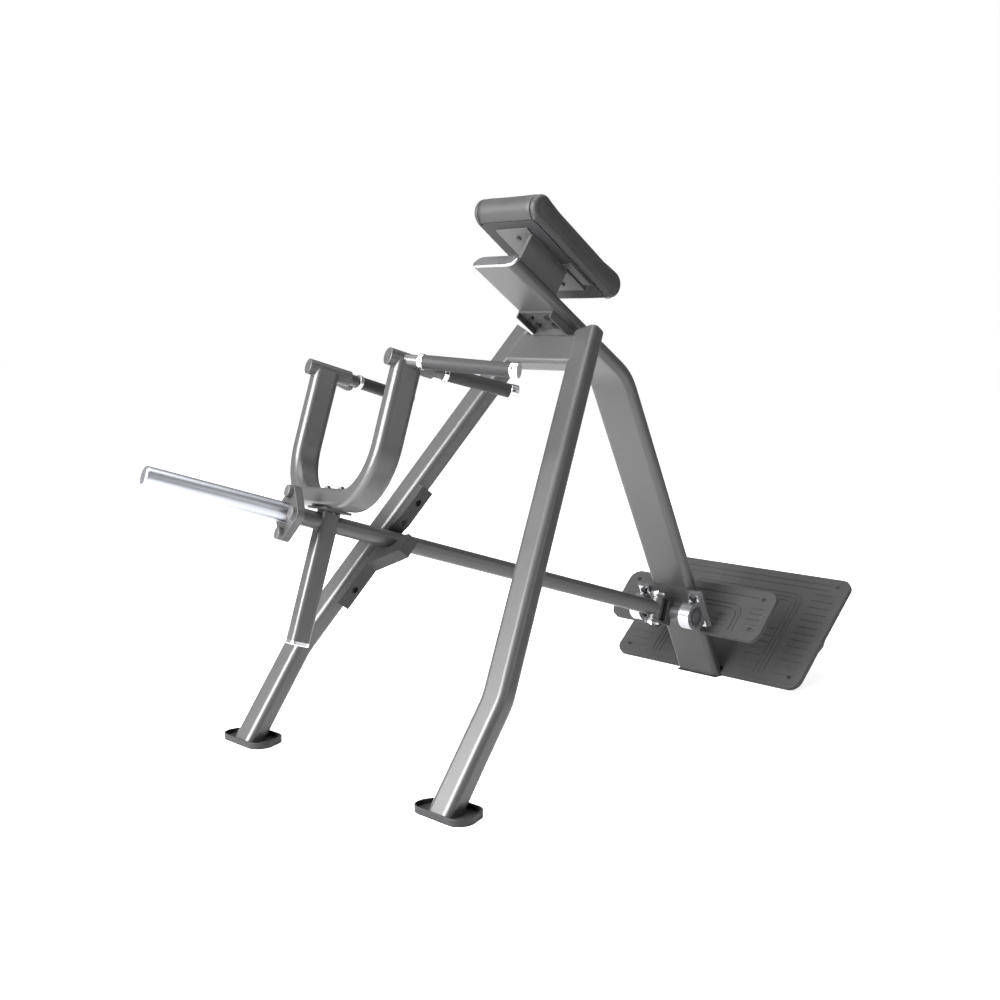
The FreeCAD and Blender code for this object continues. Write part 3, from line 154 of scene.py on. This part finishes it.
# %% fine_grain: height and a slow variation over the part
def make_fine_grain():
    tree, gin, gout = new_group(
        "fine_grain",
        [("Grain Scale", "NodeSocketFloat", 900.0), ("Cloud Scale", "NodeSocketFloat", 6.0)],
        [("Height", "NodeSocketFloat"), ("Cloud", "NodeSocketFloat"), ("Speckle", "NodeSocketFloat")])
    coords = tree.nodes.new("ShaderNodeTexCoord")
    grain = tree.nodes.new("ShaderNodeTexNoise")
    grain.inputs["Detail"].default_value = 2.0
    cloud = tree.nodes.new("ShaderNodeTexNoise")
    cloud.inputs["Detail"].default_value = 4.0
    cloud.inputs["Roughness"].default_value = 0.6
    speckle = tree.nodes.new("ShaderNodeTexVoronoi")
    for node, label in ((grain, "Grain Scale"), (cloud, "Cloud Scale")):
        tree.links.new(coords.outputs["Object"], node.inputs["Vector"])
        tree.links.new(gin.outputs[label], node.inputs["Scale"])
    tree.links.new(coords.outputs["Object"], speckle.inputs["Vector"])
    tree.links.new(gin.outputs["Grain Scale"], speckle.inputs["Scale"])
    tree.links.new(grain.outputs["Fac"], gout.inputs["Height"])
    tree.links.new(cloud.outputs["Fac"], gout.inputs["Cloud"])
    tree.links.new(speckle.outputs["Distance"], gout.inputs["Speckle"])
    return tree


fine_grain = make_fine_grain()


# %% soft_dust: upward faces, broken up by a slow noise
def make_soft_dust():
    tree, gin, gout = new_group("soft_dust", [("Amount", "NodeSocketFloat", 0.3)],
                                [("Mask", "NodeSocketFloat")])
    geometry = tree.nodes.new("ShaderNodeNewGeometry")
    split = tree.nodes.new("ShaderNodeSeparateXYZ")
    coords = tree.nodes.new("ShaderNodeTexCoord")
    noise = tree.nodes.new("ShaderNodeTexNoise")
    noise.inputs["Scale"].default_value = 14.0
    noise.inputs["Detail"].default_value = 6.0
    tree.links.new(geometry.outputs["Normal"], split.inputs["Vector"])
    tree.links.new(coords.outputs["Object"], noise.inputs["Vector"])
    upward = math_node(tree, "MULTIPLY", split.outputs["Z"], 1.0, clamp=True)
    patchy = math_node(tree, "MULTIPLY", upward, noise.outputs["Fac"], clamp=True)
    tree.links.new(math_node(tree, "MULTIPLY", patchy, gin.outputs["Amount"], clamp=True),
                   gout.inputs["Mask"])
    return tree


soft_dust = make_soft_dust()


# %% edge_light: a thin band along corners
def make_edge_light():
    tree, gin, gout = new_group(
        "edge_light", [("Radius", "NodeSocketFloat", 0.0015), ("Gain", "NodeSocketFloat", 3.0)],
        [("Mask", "NodeSocketFloat")])
    geometry = tree.nodes.new("ShaderNodeNewGeometry")
    rounded = tree.nodes.new("ShaderNodeBevel")
    rounded.samples = 4
    compare = tree.nodes.new("ShaderNodeVectorMath")
    compare.operation = "DOT_PRODUCT"
    tree.links.new(gin.outputs["Radius"], rounded.inputs["Radius"])
    tree.links.new(rounded.outputs["Normal"], compare.inputs[0])
    tree.links.new(geometry.outputs["Normal"], compare.inputs[1])
    edge = math_node(tree, "SUBTRACT", 1.0, compare.outputs["Value"], clamp=True)
    tree.links.new(math_node(tree, "MULTIPLY", edge, gin.outputs["Gain"], clamp=True),
                   gout.inputs["Mask"])
    return tree


edge_light = make_edge_light()
print("shader groups:", [g.name for g in (fine_grain, soft_dust, edge_light)])

# %% [markdown]
# ## One recipe, many finishes
# Powder coat, rubber, board vinyl and plated steel differ in colour, gloss and grain, but the wiring is the
# same: base colour drifts a little over the part, corners are painted lighter as wear and as a painted
# highlight, dust lies on top, and a fine bump breaks up the reflections. `surface()` wires it once; each
# finish then brings its own numbers.

# %% Material recipe
dust_grey = (0.42, 0.41, 0.39, 1)


def surface(name, colour, rough, metallic=0.0, grain=900.0, cloud=6.0, bump=0.05, drift=0.10,
            edge=0.15, edge_colour=None, dust=0.1, coat=0.0, coat_rough=0.2, speckle=False,
            rough_spread=0.12, specular=0.5):
    material = bpy.data.materials.new(name)
    material.use_nodes = True
    tree = material.node_tree
    shader = tree.nodes["Principled BSDF"]
    grain_node = tree.nodes.new("ShaderNodeGroup")
    grain_node.node_tree = fine_grain
    grain_node.inputs["Grain Scale"].default_value = grain
    grain_node.inputs["Cloud Scale"].default_value = cloud
    dust_node = tree.nodes.new("ShaderNodeGroup")
    dust_node.node_tree = soft_dust
    dust_node.inputs["Amount"].default_value = dust
    edge_node = tree.nodes.new("ShaderNodeGroup")
    edge_node.node_tree = edge_light

    ramp = tree.nodes.new("ShaderNodeMix")
    ramp.data_type = "RGBA"
    dark = [c * (1 - drift) for c in colour]
    light = [min(1.0, c * (1 + drift)) for c in colour]
    ramp.inputs[6].default_value = (*dark, 1)
    ramp.inputs[7].default_value = (*light, 1)
    tree.links.new(grain_node.outputs["Cloud"], ramp.inputs[0])

    # Corners take a lighter colour: edge wear together with a painted highlight.
    edge_wear_and_highlight = tree.nodes.new("ShaderNodeMix")
    edge_wear_and_highlight.data_type = "RGBA"
    edge_wear_and_highlight.inputs[7].default_value = (*(edge_colour or [min(1.0, c * 1.6 + 0.03) for c in colour]), 1)
    tree.links.new(ramp.outputs[2], edge_wear_and_highlight.inputs[6])
    tree.links.new(math_node(tree, "MULTIPLY", edge_node.outputs["Mask"], edge, clamp=True),
                   edge_wear_and_highlight.inputs[0])

    dusty = tree.nodes.new("ShaderNodeMix")
    dusty.data_type = "RGBA"
    dusty.inputs[7].default_value = dust_grey
    tree.links.new(edge_wear_and_highlight.outputs[2], dusty.inputs[6])
    tree.links.new(dust_node.outputs["Mask"], dusty.inputs[0])
    tree.links.new(dusty.outputs[2], shader.inputs["Base Color"])

    wander = math_node(tree, "MULTIPLY_ADD", grain_node.outputs["Cloud"], rough_spread)
    tree.nodes[-1].inputs[2].default_value = max(0.0, rough - rough_spread / 2)
    tree.links.new(wander, shader.inputs["Roughness"])
    shader.inputs["Metallic"].default_value = metallic
    shader.inputs["Specular IOR Level"].default_value = specular
    shader.inputs["Coat Weight"].default_value = coat
    shader.inputs["Coat Roughness"].default_value = coat_rough

    relief = tree.nodes.new("ShaderNodeBump")
    relief.inputs["Strength"].default_value = bump
    relief.inputs["Distance"].default_value = 0.001
    tree.links.new(grain_node.outputs["Speckle" if speckle else "Height"], relief.inputs["Height"])
    tree.links.new(relief.outputs["Normal"], shader.inputs["Normal"])
    return material


# %% [markdown]
# ## The machine's finishes
# The frame is a satin grey powder coat. The hook, treads, feet and grips are black but not the same black:
# hook paint is a little glossier than rubber. Bright parts are chromed on the sleeve, polished alloy on the
# bearing blocks, rings and caps, and ground steel on the shaft and pin. The fasteners are blackened.

# %% Finishes by record slot
finishes = {
    "frame_paint": surface("grey_powder_coat", (0.046, 0.046, 0.047), 0.36, metallic=0.30,
                           grain=1400, bump=0.10, drift=0.07, edge=0.35, dust=0.03, coat=0.10),
    "bracket_paint": surface("grey_bracket_paint", (0.052, 0.052, 0.053), 0.42, metallic=0.2,
                             grain=1200, bump=0.08, edge=0.3, dust=0.03),
    "knuckle_paint": surface("dark_knuckle_paint", (0.060, 0.060, 0.062), 0.36, metallic=0.45,
                             grain=1200, bump=0.08, edge=0.5, dust=0.03, coat=0.2),
    "hook_paint": surface("black_hook_coat", (0.018, 0.018, 0.019), 0.42, grain=1500, bump=0.12,
                          edge=0.35, edge_colour=(0.10, 0.10, 0.105), dust=0.02, specular=0.25),
    "fastener_steel": surface("blackened_bolt", (0.022, 0.022, 0.023), 0.38, metallic=0.7,
                              grain=2200, bump=0.05, edge=0.5, dust=0.0),
    "shaft_steel": surface("ground_shaft", (0.55, 0.55, 0.56), 0.22, metallic=1.0, grain=3000,
                           bump=0.03, edge=0.3, dust=0.0),
    "bearing_steel": surface("dark_bearing", (0.09, 0.09, 0.095), 0.40, metallic=0.8, grain=1800,
                             bump=0.05, edge=0.4, dust=0.0),
    "bright_alloy": surface("polished_alloy", (0.56, 0.565, 0.58), 0.26, metallic=1.0, grain=2200,
                            bump=0.03, drift=0.04, edge=0.3, dust=0.02, rough_spread=0.08),
    "sleeve_chrome": surface("sleeve_chrome", (0.33, 0.34, 0.37), 0.36, metallic=1.0, grain=160,
                             cloud=22, bump=0.01, drift=0.03, edge=0.1, dust=0.0, rough_spread=0.08),
    "bush_bronze": surface("bronze_bush", (0.42, 0.27, 0.10), 0.35, metallic=1.0, grain=1500,
                           bump=0.04, edge=0.2, dust=0.0),
    "pad_back_board": surface("board_vinyl", (0.020, 0.020, 0.021), 0.62, grain=700, bump=0.15,
                              edge=0.1, dust=0.04, specular=0.25),
    "grip_rubber": surface("grip_rubber", (0.016, 0.016, 0.017), 0.50, grain=1100, bump=0.25,
                           edge=0.1, dust=0.01, speckle=True, specular=0.25),
    "tread_rubber": surface("tread_rubber", (0.026, 0.026, 0.027), 0.55, grain=800, bump=0.30,
                            drift=0.14, edge=0.30, dust=0.03, specular=0.25),
    "foot_rubber": surface("foot_rubber", (0.014, 0.014, 0.015), 0.50, grain=700, bump=0.25,
                           edge=0.2, dust=0.02, specular=0.25),
    "bumper_rubber": surface("bumper_rubber", (0.042, 0.042, 0.044), 0.42, grain=900, bump=0.20,
                             edge=0.15, dust=0.05),
}
print("finishes:", len(finishes))

# %% [markdown]
# ## Leather for the chest pad
# Upholstery vinyl has two scales of relief: pebbled cells a millimetre or two wide, and soft creases where it
# is pulled round the foam. A Voronoi texture gives the pebbles, a stretched noise the creases. The sheen of
# rubbed vinyl comes from a thin, rough coat on the shader's own sockets.

# %% Pad leather
def pad_leather():
    material = bpy.data.materials.new("pad_leather")
    material.use_nodes = True
    tree = material.node_tree
    shader = tree.nodes["Principled BSDF"]
    coords = tree.nodes.new("ShaderNodeTexCoord")
    pebble = tree.nodes.new("ShaderNodeTexVoronoi")
    pebble.feature = "DISTANCE_TO_EDGE"
    pebble.inputs["Scale"].default_value = 620.0
    crease = tree.nodes.new("ShaderNodeTexNoise")
    crease.inputs["Scale"].default_value = 26.0
    crease.inputs["Detail"].default_value = 7.0
    crease.inputs["Distortion"].default_value = 0.7
    for node in (pebble, crease):
        tree.links.new(coords.outputs["Object"], node.inputs["Vector"])
    cells = math_node(tree, "MULTIPLY", pebble.outputs["Distance"], 1.6, clamp=True)
    height = math_node(tree, "ADD", math_node(tree, "MULTIPLY", cells, 0.5), crease.outputs["Fac"])
    relief = tree.nodes.new("ShaderNodeBump")
    relief.inputs["Strength"].default_value = 0.22
    relief.inputs["Distance"].default_value = 0.0012
    tree.links.new(height, relief.inputs["Height"])
    tree.links.new(relief.outputs["Normal"], shader.inputs["Normal"])
    dust_node = tree.nodes.new("ShaderNodeGroup")
    dust_node.node_tree = soft_dust
    dust_node.inputs["Amount"].default_value = 0.015
    # Colour follows the crease noise that also raises the bump, so the hollows of the creases are darker:
    # painted shade in the creases.
    crease_shade_tint = tree.nodes.new("ShaderNodeMix")
    crease_shade_tint.data_type = "RGBA"
    crease_shade_tint.inputs[6].default_value = (0.017, 0.017, 0.0175, 1)
    crease_shade_tint.inputs[7].default_value = (0.028, 0.028, 0.029, 1)
    tree.links.new(crease.outputs["Fac"], crease_shade_tint.inputs[0])
    dusty = tree.nodes.new("ShaderNodeMix")
    dusty.data_type = "RGBA"
    dusty.inputs[7].default_value = dust_grey
    tree.links.new(crease_shade_tint.outputs[2], dusty.inputs[6])
    tree.links.new(dust_node.outputs["Mask"], dusty.inputs[0])
    tree.links.new(dusty.outputs[2], shader.inputs["Base Color"])
    rough = math_node(tree, "MULTIPLY_ADD", crease.outputs["Fac"], 0.18)
    tree.nodes[-1].inputs[2].default_value = 0.40
    tree.links.new(rough, shader.inputs["Roughness"])
    shader.inputs["Specular IOR Level"].default_value = 0.28
    shader.inputs["Coat Weight"].default_value = 0.04
    shader.inputs["Coat Roughness"].default_value = 0.45
    return material


finishes["pad_cover"] = pad_leather()

# %% [markdown]
# ## Paint every CAD part
# The record says which finish slot each part uses, so one loop dresses the whole machine.

# %% Dress the CAD parts
slot_of = {entry["node"]: entry["material_slot"] for entry in frame["record"]["subparts"]}
for node_name, obj in nodes.items():
    finish = finishes[slot_of[node_name]]
    obj.data.materials.clear()
    obj.data.materials.append(finish)
print("dressed", len(nodes), "parts")

# %% [markdown]
# ## The chest pad
# The real pad is foam on a board, wrapped in vinyl and stapled at the back. Its faces crown a little and its
# ends roll over. The CAD solid has the right size and the recess for the board, so the pad starts as a copy
# of it. A voxel remesh gives the copy an even skin, Cloth with a little inner pressure swells that skin like
# foam, and the result is capped at a few millimetres so that it keeps its size. Points round the board are
# put back, because that edge is stapled tight.

# %% Copy and remesh the pad
def copy_of_node(node_name, piece_name):
    piece = nodes[node_name].copy()
    piece.data = nodes[node_name].data.copy()
    piece.name = piece_name
    piece.parent = None
    piece.matrix_world = Matrix.Identity(4)
    bpy.context.scene.collection.objects.link(piece)
    select_only(piece)
    bpy.ops.object.mode_set(mode="EDIT")
    bpy.ops.mesh.select_all(action="SELECT")
    bpy.ops.mesh.remove_doubles(threshold=0.00005)
    bpy.ops.object.mode_set(mode="OBJECT")
    return piece


pad = copy_of_node("chest_pad", "pad_upholstery")
remesh = pad.modifiers.new("even_skin", "REMESH")
remesh.mode = "VOXEL"
remesh.voxel_size = 0.004
select_only(pad)
bpy.ops.object.modifier_apply(modifier="even_skin")
print("pad skin points", len(pad.data.vertices))


# %% Swell the pad
def local_points(piece, matrix):
    inverse = np.array(matrix.inverted())
    co = np.empty(len(piece.data.vertices) * 3)
    piece.data.vertices.foreach_get("co", co)
    co = co.reshape(-1, 3)
    return co, co @ inverse[:3, :3].T + inverse[:3, 3]


start, start_local = local_points(pad, pad_matrix)
cloth = pad.modifiers.new("foam", "CLOTH")
cloth.settings.quality = 5
cloth.settings.mass = 0.3
cloth.settings.tension_stiffness = 30
cloth.settings.compression_stiffness = 30
cloth.settings.bending_stiffness = 6
cloth.settings.use_pressure = True
cloth.settings.uniform_pressure_force = 3.0
cloth.settings.effector_weights.gravity = 0.0
for tick in range(1, 21):
    bpy.context.scene.frame_set(tick)
select_only(pad)
bpy.ops.object.modifier_apply(modifier="foam")
bpy.context.scene.frame_set(1)
swollen, _ = local_points(pad, pad_matrix)
move = swollen - start
length = np.linalg.norm(move, axis=1)
most_swell = 0.0035
scale = np.minimum(1.0, most_swell / np.maximum(length, 1e-9))
around_board = ((np.abs(start_local[:, 0]) < 0.166) & (np.abs(start_local[:, 1]) < 0.104)
                & (start_local[:, 2] < -0.018))
scale[around_board] = 0.0
shaped = start + move * scale[:, None]

# %% [markdown]
# ## Sewn edges on the pad
# The cover is a long wrap with a flat panel on each side, and each joint is a sewn seam that draws the vinyl
# in. The seam line runs round the panel a finger's width inside the pad's side. The skin is pulled in along
# that line, and then a fine cord of folded vinyl is laid over it. The corner outside the line is rolled.

# %% Draw the skin in along the seams
seam_inset, seam_pull, seam_spread = 0.019, 0.0018, 0.0045
rim = 0.014
seam_y = pad_size[1] / 2 - seam_inset
side_depth = pad_size[1] / 2 - np.abs(start_local[:, 1])
distance = np.abs(side_depth - seam_inset)
half_straight = pad_size[0] / 2 - pad_size[2] / 2
inner_x = np.clip(start_local[:, 0], -half_straight, half_straight)
outward_local = np.stack([start_local[:, 0] - inner_x, np.zeros(len(start_local)),
                          start_local[:, 2]], axis=1)
reach = np.linalg.norm(outward_local, axis=1)
on_wrap = reach > pad_size[2] / 2 - 0.012
pull = seam_pull * np.exp(-(distance / seam_spread) ** 2) * on_wrap
outward_local /= np.maximum(reach, 1e-6)[:, None]
rotation = np.array(pad_matrix)[:3, :3]
shaped -= (outward_local * pull[:, None]) @ rotation.T
wrap_depth = pad_size[2] / 2 - reach
on_rim = (side_depth < rim) & (wrap_depth < rim) & ~around_board
corner = np.stack([rim - side_depth, rim - wrap_depth], axis=1)
corner_reach = np.linalg.norm(corner, axis=1)
excess = np.where(on_rim, np.maximum(0.0, corner_reach - rim), 0.0)
corner /= np.maximum(corner_reach, 1e-6)[:, None]
across = np.zeros((len(start_local), 3))
across[:, 1] = np.sign(start_local[:, 1])
inward = across * corner[:, :1] + outward_local * corner[:, 1:]
shaped -= (inward * excess[:, None]) @ rotation.T
panel_line = np.exp(-((wrap_depth - 0.017) / 0.004) ** 2) * (side_depth < 0.006)
shaped -= (across * (0.0016 * panel_line)[:, None]) @ rotation.T
pad.data.vertices.foreach_set("co", shaped.astype(np.float32).ravel())
pad.data.update()
calm = pad.modifiers.new("calm", "SMOOTH")
calm.factor = 0.5
calm.iterations = 3
smooth = pad.modifiers.new("rounder", "SUBSURF")
smooth.levels = 1
smooth.render_levels = 1
select_only(pad)
bpy.ops.object.modifier_apply(modifier="calm")
bpy.ops.object.modifier_apply(modifier="rounder")
finish_piece(pad, "frame", finishes["pad_cover"])
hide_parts("chest_pad")


# %% Seam cords
def slide_half(loop, side):
    """Slide the half of the circle on one side of its middle out to the pad's rounded end."""
    bpy.ops.object.mode_set(mode="EDIT")
    bpy.ops.mesh.select_mode(type="VERT")
    bpy.ops.mesh.select_all(action="DESELECT")
    bpy.ops.object.mode_set(mode="OBJECT")
    for vertex in loop.data.vertices:
        vertex.select = (vertex.co.x >= 0) == (side > 0)
    bpy.ops.object.mode_set(mode="EDIT")
    bpy.ops.transform.translate(value=(side * half_straight, 0, 0))
    bpy.ops.object.mode_set(mode="OBJECT")


def seam_cord(name, y, inset, thickness):
    """A circle pulled out into a loop round the pad, given a round section."""
    select_only()
    bpy.ops.mesh.primitive_circle_add(vertices=96, radius=pad_size[2] / 2 - inset,
                                      location=(0, y, 0), rotation=(math.pi / 2, 0, 0))
    loop = bpy.context.object
    loop.name = name
    bpy.ops.object.transform_apply(location=True, rotation=True, scale=True)
    slide_half(loop, 1)
    slide_half(loop, -1)
    select_only(loop)
    bpy.ops.object.convert(target="CURVE")
    loop = bpy.context.object
    loop.data.bevel_depth = thickness
    loop.data.bevel_resolution = 2
    bpy.ops.object.convert(target="MESH")
    loop = bpy.context.object
    lay_in_place(loop, pad_matrix)
    finish_piece(loop, "frame", finishes["pad_cover"])


for side_name, side in (("rack_side", 1), ("open_side", -1)):
    seam_cord("pad_seam_" + side_name, side * seam_y, 0.0012, 0.0011)

# %% [markdown]
# ## Ribs in the foot treads
# The rubber treads are moulded with raised ribs: short bars near each side, two or three nested lines that
# rise from the bottom and turn in towards the middle, more short bars inside them, and one or two long lines
# across the top. Every line starts as one
# point that is extruded step by step, round its corner too, and is given a round section. It is
# sunk to half its height in the rubber, as a moulded rib is.

# %% One rib line
def rib_line(steps, thickness):
    """steps: first point, then moves, in tread-plane metres (x up the tread, y across)."""
    select_only()
    first = steps[0]
    bpy.ops.mesh.primitive_plane_add(size=0.01, location=(first[0], first[1], 0))
    bpy.ops.object.transform_apply(location=True, rotation=False, scale=False)
    bpy.ops.object.mode_set(mode="EDIT")
    bpy.ops.mesh.select_all(action="SELECT")
    bpy.ops.mesh.merge(type="CENTER")
    for dx, dy in steps[1:]:
        bpy.ops.mesh.extrude_region_move(TRANSFORM_OT_translate={"value": (dx, dy, 0)})
    bpy.ops.object.mode_set(mode="OBJECT")
    line = bpy.context.object
    bpy.ops.object.convert(target="CURVE")
    line = bpy.context.object
    line.data.bevel_depth = thickness
    line.data.bevel_resolution = 1
    line.data.use_fill_caps = True
    bpy.ops.object.convert(target="MESH")
    return bpy.context.object


# %% A rounded corner as short moves
def quarter_turn(radius, side, moves=7):
    """From climbing the tread to running in towards its middle."""
    spots = [(radius * math.sin(a), -side * radius * (1 - math.cos(a)))
             for a in (math.pi / 2 * k / moves for k in range(moves + 1))]
    return [(b[0] - a[0], b[1] - a[1]) for a, b in zip(spots, spots[1:])]


# %% Lay out the ribs of one tread
def rib_tread(node_name):
    t = treads[node_name]
    half, depth = t["width"] / 2, t["depth"]
    lines = []
    thick = 0.0022
    lower = node_name == "lower_tread"
    bar = 0.072 if lower else 0.040
    edge = 0.030 if lower else 0.024
    pitch = 0.0245 if lower else 0.0185
    first = 0.040 if lower else 0.034
    turn = depth - (0.075 if lower else 0.058)
    count = int((depth - first - 0.045) / pitch) + 1
    for side in (1, -1):
        for k in range(count):
            x = first + k * pitch
            lines.append(rib_line([(x, side * (half - edge)), (0, -side * bar)], thick))
        for k in range(3 if lower else 2):
            y = half - edge - bar - 0.030 - k * 0.014
            top = turn - k * 0.014
            radius = 0.034 - k * 0.006
            straight = [(first - 0.012, side * y), (top - radius - first + 0.012, 0)]
            across = [(0, -side * (y - radius - 0.004))]
            lines.append(rib_line(straight + quarter_turn(radius, side) + across, thick))
        if lower:
            for k in range(7):
                x = first + k * pitch
                lines.append(rib_line([(x, side * 0.170), (0, -side * 0.055)], thick))
        else:
            for k in range(3):
                x = first + k * pitch
                lines.append(rib_line([(x, side * 0.134), (0, -side * 0.036)], thick))
    for k in range(2 if lower else 1):
        x = depth - 0.026 - k * 0.020
        lines.append(rib_line([(x, -(half - 0.060)), (0, 2 * (half - 0.060))], thick))
    ribs = join_all(lines, node_name + "_ribs")
    lay_in_place(ribs, slope_matrix(t["edge"], t["slope"]))
    finish_piece(ribs, "frame", finishes["tread_rubber"])
    return ribs


for tread_name in treads:
    rib_tread(tread_name)

# %% [markdown]
# ## Floor, light and camera
# A pale floor and soft lights keep attention on the machine. The main light stands at the weight end,
# so the fronts of the legs read light and their sides fall away darker; a wide overhead light draws the
# highlights along the tubes. The floor and the air are brighter to the camera than they are to the machine,
# so the surroundings read as white while the dark paint keeps its contrast.

# %% Studio floor
select_only()
bpy.ops.mesh.primitive_plane_add(size=60, location=(0, 0, -0.0005))
floor = bpy.context.object
floor.name = "studio_floor"
floor_material = bpy.data.materials.new("pale_floor")
floor_material.use_nodes = True
floor_shader = floor_material.node_tree.nodes["Principled BSDF"]
floor_shader.inputs["Base Color"].default_value = (0.94, 0.94, 0.94, 1)
floor_shader.inputs["Roughness"].default_value = 0.85
floor_shader.inputs["Specular IOR Level"].default_value = 0.1
tree = floor_material.node_tree
glow = tree.nodes.new("ShaderNodeEmission")
glow.inputs["Strength"].default_value = 0.70
no_glow = tree.nodes.new("ShaderNodeEmission")
no_glow.inputs["Strength"].default_value = 0.0
ray_kind = tree.nodes.new("ShaderNodeLightPath")
choose_glow = tree.nodes.new("ShaderNodeMixShader")
lit_floor = tree.nodes.new("ShaderNodeAddShader")
tree.links.new(ray_kind.outputs["Is Camera Ray"], choose_glow.inputs[0])
tree.links.new(no_glow.outputs[0], choose_glow.inputs[1])
tree.links.new(glow.outputs[0], choose_glow.inputs[2])
tree.links.new(floor_shader.outputs[0], lit_floor.inputs[0])
tree.links.new(choose_glow.outputs[0], lit_floor.inputs[1])
tree.links.new(lit_floor.outputs[0], tree.nodes["Material Output"].inputs["Surface"])
floor.data.materials.append(floor_material)
print("floor ready")


# %% Studio lights
def area_light(name, location, target, size, power):
    select_only()
    bpy.ops.object.light_add(type="AREA", location=location)
    light = bpy.context.object
    light.name = name
    light.data.shape = "DISK"
    light.data.size = size
    light.data.energy = power
    aim = Vector(target) - Vector(location)
    light.rotation_euler = aim.to_track_quat("-Z", "Y").to_euler()
    return light


aim_at = (-0.7, 0.0, 0.7)
area_light("key_from_weight_end", (-4.6, 1.0, 2.4), aim_at, 3.6, 900)
area_light("overhead", (-0.6, 0.2, 4.4), aim_at, 3.6, 170)
area_light("fill_open_side", (0.8, -4.4, 2.0), aim_at, 3.0, 50)
world = bpy.data.worlds.new("studio_air")
bpy.context.scene.world = world
world.use_nodes = True
air = world.node_tree
lit_air = air.nodes["Background"]
lit_air.inputs["Color"].default_value = (1, 1, 1, 1)
lit_air.inputs["Strength"].default_value = 0.32
seen_air = air.nodes.new("ShaderNodeBackground")
seen_air.inputs["Color"].default_value = (1, 1, 1, 1)
seen_air.inputs["Strength"].default_value = 1.0
ray_kind = air.nodes.new("ShaderNodeLightPath")
choose_air = air.nodes.new("ShaderNodeMixShader")
air.links.new(ray_kind.outputs["Is Camera Ray"], choose_air.inputs[0])
air.links.new(lit_air.outputs[0], choose_air.inputs[1])
air.links.new(seen_air.outputs[0], choose_air.inputs[2])
air.links.new(choose_air.outputs[0], air.nodes["World Output"].inputs["Surface"])
bpy.context.scene.view_settings.view_transform = "Standard"

# %% Camera
camera_data = bpy.data.cameras.new("studio_camera")
camera = bpy.data.objects.new("studio_camera", camera_data)
bpy.context.scene.collection.objects.link(camera)
camera.location = (-3.2410, -2.4567, 1.0387)
camera.rotation_euler = (math.radians(90 - 7.35), 0, math.radians(45.71 - 90))
camera_data.sensor_width = 36.0
camera_data.lens = 49.41
bpy.context.scene.camera = camera
print("camera lens", camera_data.lens)
